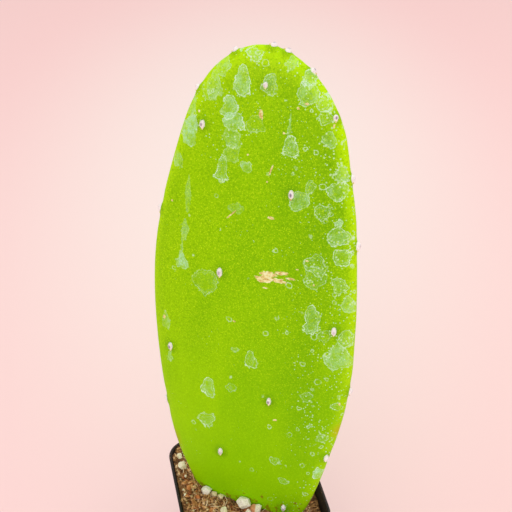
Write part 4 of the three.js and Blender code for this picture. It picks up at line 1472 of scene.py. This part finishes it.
def gapToWall(x, y, z):
    # from a place inside the pot to its inner wall
    half = insideWidth(z)
    corner = pot["topCorner"] - pot["wall"]
    a, b = abs(x) - half + corner, abs(y) - half + corner
    return corner - math.hypot(max(a, 0), max(b, 0)) - min(max(a, b), 0)


def gapToPad(point):
    where, away, _, distance = skinTree.find_nearest(point)
    return (distance if (point - where).dot(away) > 0 else -distance) / mm


def buildMix():
    gap = mix["clearance"]
    base = pot["floorThickness"] + gap
    ledgeTop = potHeight - pot["bandHeight"] + pot["bandLedge"]
    rings = [wallRing(base, insideInset(base) + gap) * (share, share, 1) for share in (0.4, 0.8)]
    levels = (base, *mix["levels"], ledgeTop - pot["bandLedge"], ledgeTop)
    rings += [wallRing(z, insideInset(z) + gap) for z in levels]
    level = wallRing(soilLevel, insideInset(soilLevel) + gap)
    for share in 1 - np.linspace(0, 0.985, mix["rings"]) ** 1.05:
        ring = level * (share, share, 1)
        for point in ring:
            point[2] = fineHeight(point[0], point[1])
            if share == 1:
                point[2] = max(point[2], ledgeTop + 0.1)
                point[:2] *= (insideWidth(point[2]) - gap) / (insideWidth(soilLevel) - gap)
        rings.append(ring)
    points, faces = loft(rings)
    body = newObject("mixBody", meshFrom("mixBody", points, faces))
    padGap, wallGap = [], []
    for point in points:
        onTop = point[2] > mix["topFrom"] * mm
        padGap.append(gapToPad(Vector(point)) if onTop else -5)
        wallGap.append(gapToWall(*(point / mm)) if onTop else -5)
    keepFloats(body.data, "padGap", padGap)
    keepFloats(body.data, "wallGap", wallGap)
    smoothBelow(body.data, 60)
    body.data.materials.append(mixMaterial("damp peat", ["#4e3420", "#86603a", "#b48a58", "#dbb47e"]))
    finishPiece(body, "potting_mix", "potting_mix")
    return body


def layLitter(body):
    crumbs = [crumbMesh(f"crumb{i}", i, (1.0, 0.42 + 0.13 * i, 0.5 - 0.06 * i), 0.8) for i in range(4)]
    thickness = (0.018, 0.026, 0.014, 0.03, 0.02)
    fibres = [threadMesh(f"fibre{i}", i, thickness[i], 0.24, 4, 9) for i in range(5)]
    chips = [crumbMesh(f"chip{i}", 20 + i, (1.0, 0.42 + 0.06 * i, 0.22), 0.7) for i in range(4)]
    grit = [crumbMesh(f"grit{i}", 40 + i, (1.0, 0.9, 0.8), 0.5) for i in range(3)]
    pieces = {
        "mixCrumbs": (crumbs, mixMaterial("peat crumbs", ["#5c3e26", "#a67a4c", "#d2a468", "#f2d6a4"])),
        "coirFibres": (fibres, fibreMaterial("coir fibre", ["#875a34", "#bc8850", "#dfb67c", "#f6e2b8"])),
        "mixChips": (chips, mixMaterial("bark chips", ["#643a20", "#a8643a", "#cc8648", "#e4b680"])),
        "perliteGrit": (grit, perliteMaterial("fine perlite")),
    }
    for name, (meshes, finish) in pieces.items():
        laid = litter[name]
        values = {key: laid[key] * mm for key in ("Smallest", "Largest", "Lift", "Lumpiness", "Lump Size")}
        values |= {key: laid[key] for key in ("Seed", "Tilt", "Pad Margin", "Wall Margin")}
        values |= {"Density": laid["perMm"] * 1e6, "Finish": finish}
        finishPiece(strew(body, name, gather(name + "Shapes", meshes), values), laid["slot"])


def mixMaterial(name, colours):
    # Damp peat and bark: dark in the hollows, as painted shade where the colour follows the bumps; redder and
    # paler on what has dried.
    material, add, shader, place = newMaterial(name, {"Roughness": 0.92, "Specular IOR Level": 0.18})
    tint = add("Attribute", {"attribute_name": "tint"}).outputs["Fac"]
    clods = add("TexNoise", inputs={"Vector": place, "Scale": grain(1.6), "Detail": 6, "Roughness": 0.65})
    threads = add(
        "TexNoise",
        inputs={
            "Vector": add(
                "Mapping", inputs={"Vector": place, "Rotation": (0, 0, 0.8), "Scale": (0.2, 1, 1)},
            ),
            "Scale": grain(0.5), "Detail": 3,
        },
    )
    summed = add("Math", "MULTIPLY_ADD", (threads, 0.35, clods))
    shifted = add("Math", "MULTIPLY_ADD", (tint, 0.34, summed))
    stops = [(0.56, colours[0]), (0.72, colours[1]), (0.88, colours[2]), (1.0, colours[3])]
    shade = add("ValToRGB", {"stops": stops}, (shifted,))
    height = add("Math", "ADD", (clods, threads))
    rough = add("Bump", inputs={"Strength": 0.8, "Distance": 0.0004, "Height": height})
    feed(shader, {"Base Color": shade, "Normal": rough})
    return material


def fibreMaterial(name, colours):
    # Dry coir: tan to red-brown from thread to thread, each a little mottled.
    material, add, shader, place = newMaterial(name, {"Roughness": 0.8, "Specular IOR Level": 0.25})
    tint = add("Attribute", {"attribute_name": "tint"}).outputs["Fac"]
    mottle = add("TexNoise", inputs={"Vector": place, "Scale": grain(1.2), "Detail": 4})
    share = add("Math", "MULTIPLY_ADD", (mottle, 0.5, tint))
    shade = add(
        "ValToRGB",
        {"stops": [(0.2, colours[0]), (0.55, colours[1]), (0.9, colours[2]), (1.0, colours[3])]}, (share,),
    )
    rough = add("Bump", inputs={"Strength": 0.5, "Distance": 0.0001, "Height": mottle})
    feed(shader, {"Base Color": shade, "Normal": rough})
    return material


def perliteMaterial(name):
    # Expanded perlite: chalk-white foam glass, creamy or greyed where it holds water or dust.
    material, add, shader, place = newMaterial(
        name, {"Roughness": 0.9, "IOR": 1.5, "Specular IOR Level": 0.25},
    )
    tint = add("Attribute", {"attribute_name": "tint"}).outputs["Fac"]
    stainShare = add("Attribute", {"attribute_name": "stained"}).outputs["Fac"]
    cells = add("TexVoronoi", {"feature": "F1"}, {"Vector": place, "Scale": grain(0.45)})
    dust = add("TexNoise", inputs={"Vector": place, "Scale": grain(1.4), "Detail": 5, "Roughness": 0.6})
    share = add("Math", "MULTIPLY_ADD", (dust, 0.7, tint))
    shade = add(
        "ValToRGB", {"stops": [(0.3, "#fffff0"), (0.56, "#fafad6"), (0.8, "#ece4ac"), (1.0, "#c8ae78")]},
        (share,),
    )
    pits = add("MapRange", {}, {0: cells, 1: 0.25, 2: 0.75, 3: 0.0, 4: 0.35})
    pitted = add("Mix", asColour, {0: pits, 6: shade, 7: linear("#b9ae8c")})
    stained = add("Mix", asColour, {0: stainShare, 6: pitted.outputs[2], 7: linear("#d9843c")})
    foam = add("Bump", {"invert": True}, {"Strength": 0.6, "Distance": 0.0002, "Height": cells})
    feed(shader, {"Base Color": stained.outputs[2], "Normal": foam})
    return material


# The larger loose pieces keep the place and size of their solids, and get their real surface
loosePieces = {
    "perliteGrains": {
        "nodes": [f"perlite_{i}" for i in range(1, 15)],
        "voxel": 0.13,
        "slot": "perlite",
        "bumps": 0.2,
        "bumpSize": 0.75,
        "swell": 0.2,
        "facets": 8,  # flat breaks round each grain
        "upTo": 1.22,  # how far it reaches past its solid before it is broken flat
        "breakAt": 0.68,  # share of the reach at which a flat break lies
        "breakSpread": 0.22,
        "breakFlatness": 0.9,
        "stretch": 1.0,
        "rusty": "perlite_3",
        # how creamy each grain is, in order
        "tints": [0.0, 0.02, 0.08, 0.05, 0.5, 0.45, 0.22, 0.25, 0.3, 0.28, 0.2, 0.05, 0.15, 0.1],
    },
    "barkChips": {
        "nodes": [f"bark_{i}" for i in range(1, 8)],
        "voxel": 0.15,
        "slot": "bark",
        "bumps": 0.2,
        "bumpSize": 0.5,
        "swell": 0.25,
        "stretch": 0.16,
        "tints": [0.55, 0.3, 0.5, 0.2, 0.6, 0.35, 0.7],
    },
    "coirStraws": {
        "nodes": [f"coir_{i}" for i in range(1, 5)],
        "voxel": 0.11,
        "slot": "coir",
        "bumps": 0.1,
        "bumpSize": 0.22,
        "swell": 0.08,
        "stretch": 0.05,
        "tints": [0.62, 0.5, 0.75, 0.4],
    },
}


def breakAim(number, facet):
    # which way a flat break on a grain faces; evenly spread, then knocked about
    z = 1 - 2 * ((facet + 0.5) / loosePieces["perliteGrains"]["facets"])
    angle = facet * 2.39996 + number * 1.3
    flat = math.sqrt(1 - z * z)
    aim = np.array([flat * math.cos(angle), flat * math.sin(angle), z])
    aim += [0.35 * noise.noise(Vector((facet * 2.1, number * 1.7, axis * 3.3))) for axis in range(3)]
    return aim / np.linalg.norm(aim)


def buildLoose(name, settings, material):
    whole = bmesh.new()
    tints, stains = [], []
    for number, node in enumerate(settings["nodes"]):
        work = bmesh.new()
        work.from_mesh(frame["nodes"][node].data)
        bmesh.ops.remove_doubles(work, verts=work.verts, dist=1e-5)
        bmesh.ops.recalc_face_normals(work, faces=work.faces)
        mesh = bpy.data.meshes.new(node + "Copy")
        work.to_mesh(mesh)
        work.free()
        holder = newObject(node + "Copy", mesh)
        remesh = holder.modifiers.new("remesh", "REMESH")
        remesh.mode, remesh.voxel_size, remesh.adaptivity = "VOXEL", settings["voxel"] * mm, 0
        soften = holder.modifiers.new("soften", "SMOOTH")
        soften.factor, soften.iterations = 0.5, 3
        fine = plainMesh(holder, node + "Fine")
        points = pointsOf(fine.data)
        centre = points.mean(0)
        axes = np.linalg.svd(points - centre, full_matrices=False)[2]
        normals = np.array([v.normal for v in fine.data.vertices])
        points = centre + (points - centre) * settings.get("upTo", 1)
        for facet in range(settings.get("facets", 0)):
            aim = breakAim(number, facet)
            beyond = (points - centre) @ aim
            knock = noise.noise(Vector((facet * 1.7, number * 2.3, 0)))
            limit = beyond.max() * (settings["breakAt"] + settings["breakSpread"] * knock)
            points -= np.outer(np.clip(beyond - limit, 0, None) * settings["breakFlatness"], aim)
        along = (points - centre) @ axes.T / mm
        along[:, 0] *= settings["stretch"]
        for i, place in enumerate(along):
            spot = Vector(place) + Vector((number * 9.7, 0, 0))
            if settings["stretch"] == 1.0:
                bump = 0.5 - noise.voronoi(spot / settings["bumpSize"])[0][0]
            else:
                bump = noise.noise(spot / settings["bumpSize"]) + 0.5 * noise.noise(
                    spot / settings["bumpSize"] * 2.3,
                )
            swell = noise.noise(spot / 1.2)
            points[i] += normals[i] * (settings["bumps"] * bump + settings["swell"] * swell) * mm
        fine.data.vertices.foreach_set("co", points.astype(np.float32).ravel())
        tints += [settings["tints"][number]] * len(points)
        # one grain has a rusty side
        rusty = ease(
            0.1, 0.7, -along[:, 0],
        ) * 0.8 if node == settings.get("rusty") else np.zeros(len(points))
        stains += list(rusty)
        whole.from_mesh(fine.data)
        bpy.data.objects.remove(fine)
    mesh = bpy.data.meshes.new(name)
    whole.to_mesh(mesh)
    whole.free()
    piece = newObject(name, mesh)
    keepFloats(mesh, "tint", tints)
    keepFloats(mesh, "stained", stains)
    smoothBelow(mesh, 50)
    mesh.materials.clear()
    mesh.materials.append(material)
    finishPiece(piece, settings["slot"], *settings["nodes"])


layLitter(buildMix())
buildLoose("perliteGrains", loosePieces["perliteGrains"], perliteMaterial("expanded perlite"))
buildLoose(
    "barkChips", loosePieces["barkChips"],
    mixMaterial("composted bark", ["#5a3820", "#a06a3e", "#cc985c", "#ecc896"]),
)
buildLoose(
    "coirStraws", loosePieces["coirStraws"],
    fibreMaterial("coir straw", ["#84582e", "#c0905a", "#e0b880", "#f2d8ac"]),
)
print("potting mix built")


# Roots: each leaves the pad's base and thins out through the mix
roots = {"count": 7, "thickness": 2.2, "tip": 0.9, "start": 5, "spread": 0.66, "depth": 0.72, "wiggle": 0.9}


def rootTree():
    tree, add, given = newTree(
        "rootForm",
        {
            "Thickness": ("Float", 0.002),
            "Tip": ("Float", 0.001),
            "Wiggle": ("Float", 0.001),
            "Bark": ("Material", None),
        },
    )
    lines = add("GeometryNodeMeshToCurve", inputs={"Mesh": given["Geometry"]})
    rounded = add("GeometryNodeCurveSplineType", {"spline_type": "CATMULL_ROM"}, {"Curve": lines})
    stepped = add("GeometryNodeResampleCurve", inputs={"Curve": rounded, "Count": 48})
    along = add("GeometryNodeSplineParameter").outputs["Factor"]
    bends = add("TexNoise", inputs={"Scale": grain(7), "Detail": 2.0})
    centred = add("VectorMath", "SUBTRACT", (bends.outputs["Color"], (0.5, 0.5, 0.5)))
    freer = add("Math", "MULTIPLY", (along, given["Wiggle"]))
    offset = add("VectorMath", "SCALE", {"Vector": centred, "Scale": freer})
    bent = add("GeometryNodeSetPosition", inputs={"Geometry": stepped, "Offset": offset})
    radius = add("MapRange", {}, {0: along, 3: given["Thickness"], 4: given["Tip"]})
    half = add("Math", "MULTIPLY", (radius, 0.5))
    sized = add("GeometryNodeSetCurveRadius", inputs={"Curve": bent, "Radius": half})
    profile = add("GeometryNodeCurvePrimitiveCircle", inputs={"Resolution": 12, "Radius": 1.0})
    tubeInputs = {"Curve": sized, "Profile Curve": profile.outputs["Curve"], "Fill Caps": True}
    tube = add("GeometryNodeCurveToMesh", inputs=tubeInputs)
    if "Scale" in tube.inputs:
        feed(tube, {"Scale": half})
    whole = add("GeometryNodeRealizeInstances", inputs=(tube,))
    dressed = add("GeometryNodeSetMaterial", inputs={"Geometry": whole, "Material": given["Bark"]})
    add("NodeGroupOutput", inputs=(dressed,))
    return tree


def buildRoots():
    start = padPlace @ (Vector((0, 0, roots["start"] - pad["buried"])) * mm) / mm
    base = padPlace @ (Vector((0, 0, -pad["buried"])) * mm) / mm
    points, edges = [], []
    for number in range(roots["count"]):
        heading = 2 * math.pi * number / roots["count"] + 0.3 * noise.noise(Vector((number * 2.7, 0, 0)))
        reach = roots["spread"] * (0.85 + 0.3 * noise.noise(Vector((number * 1.9, 4, 0))))
        drop = roots["depth"] * (0.8 + 0.4 * noise.noise(Vector((number * 3.1, 8, 0))))
        tipZ = base.z + (pot["floorThickness"] - base.z) * drop
        tip = Vector((math.cos(heading), math.sin(heading), 0)) * reach * insideWidth(tipZ)
        tip.z = tipZ
        bend = base.lerp(tip, 0.45)
        bend.z = base.z + (tipZ - base.z) * 0.3
        first = len(points)
        points += [start * mm, base.lerp(bend, 0.2) * mm, bend * mm, tip * mm]
        edges += [(first + i, first + i + 1) for i in range(3)]
    mesh = bpy.data.meshes.new("rootLines")
    mesh.from_pydata([tuple(p) for p in points], edges, [])
    # Fleshy young roots: straw-coloured skin with fine rings and clinging peat.
    material, add, shader, place = newMaterial(
        "young root skin", {"Roughness": 0.8, "Specular IOR Level": 0.25},
    )
    peat = add("TexNoise", inputs={"Vector": place, "Scale": grain(1.1), "Detail": 5})
    tint = add("ValToRGB", {"stops": [(0.35, "#6b4a2e"), (0.5, "#b99a68"), (0.7, "#dcc79a")]}, (peat,))
    rings = add("Bump", inputs={"Strength": 0.5, "Distance": 0.0002, "Height": peat})
    feed(shader, {"Base Color": tint, "Normal": rings})
    values = {
        "Thickness": roots["thickness"] * mm,
        "Tip": roots["tip"] * mm,
        "Wiggle": roots["wiggle"] * 2 * mm,
        "Bark": material,
    }
    piece = growTree(newObject("rootHolder", mesh), rootTree(), "padRoots", values)
    smoothBelow(piece.data, 60, outward=True)
    finishPiece(piece, "pad_skin")


buildRoots()
print("roots built")
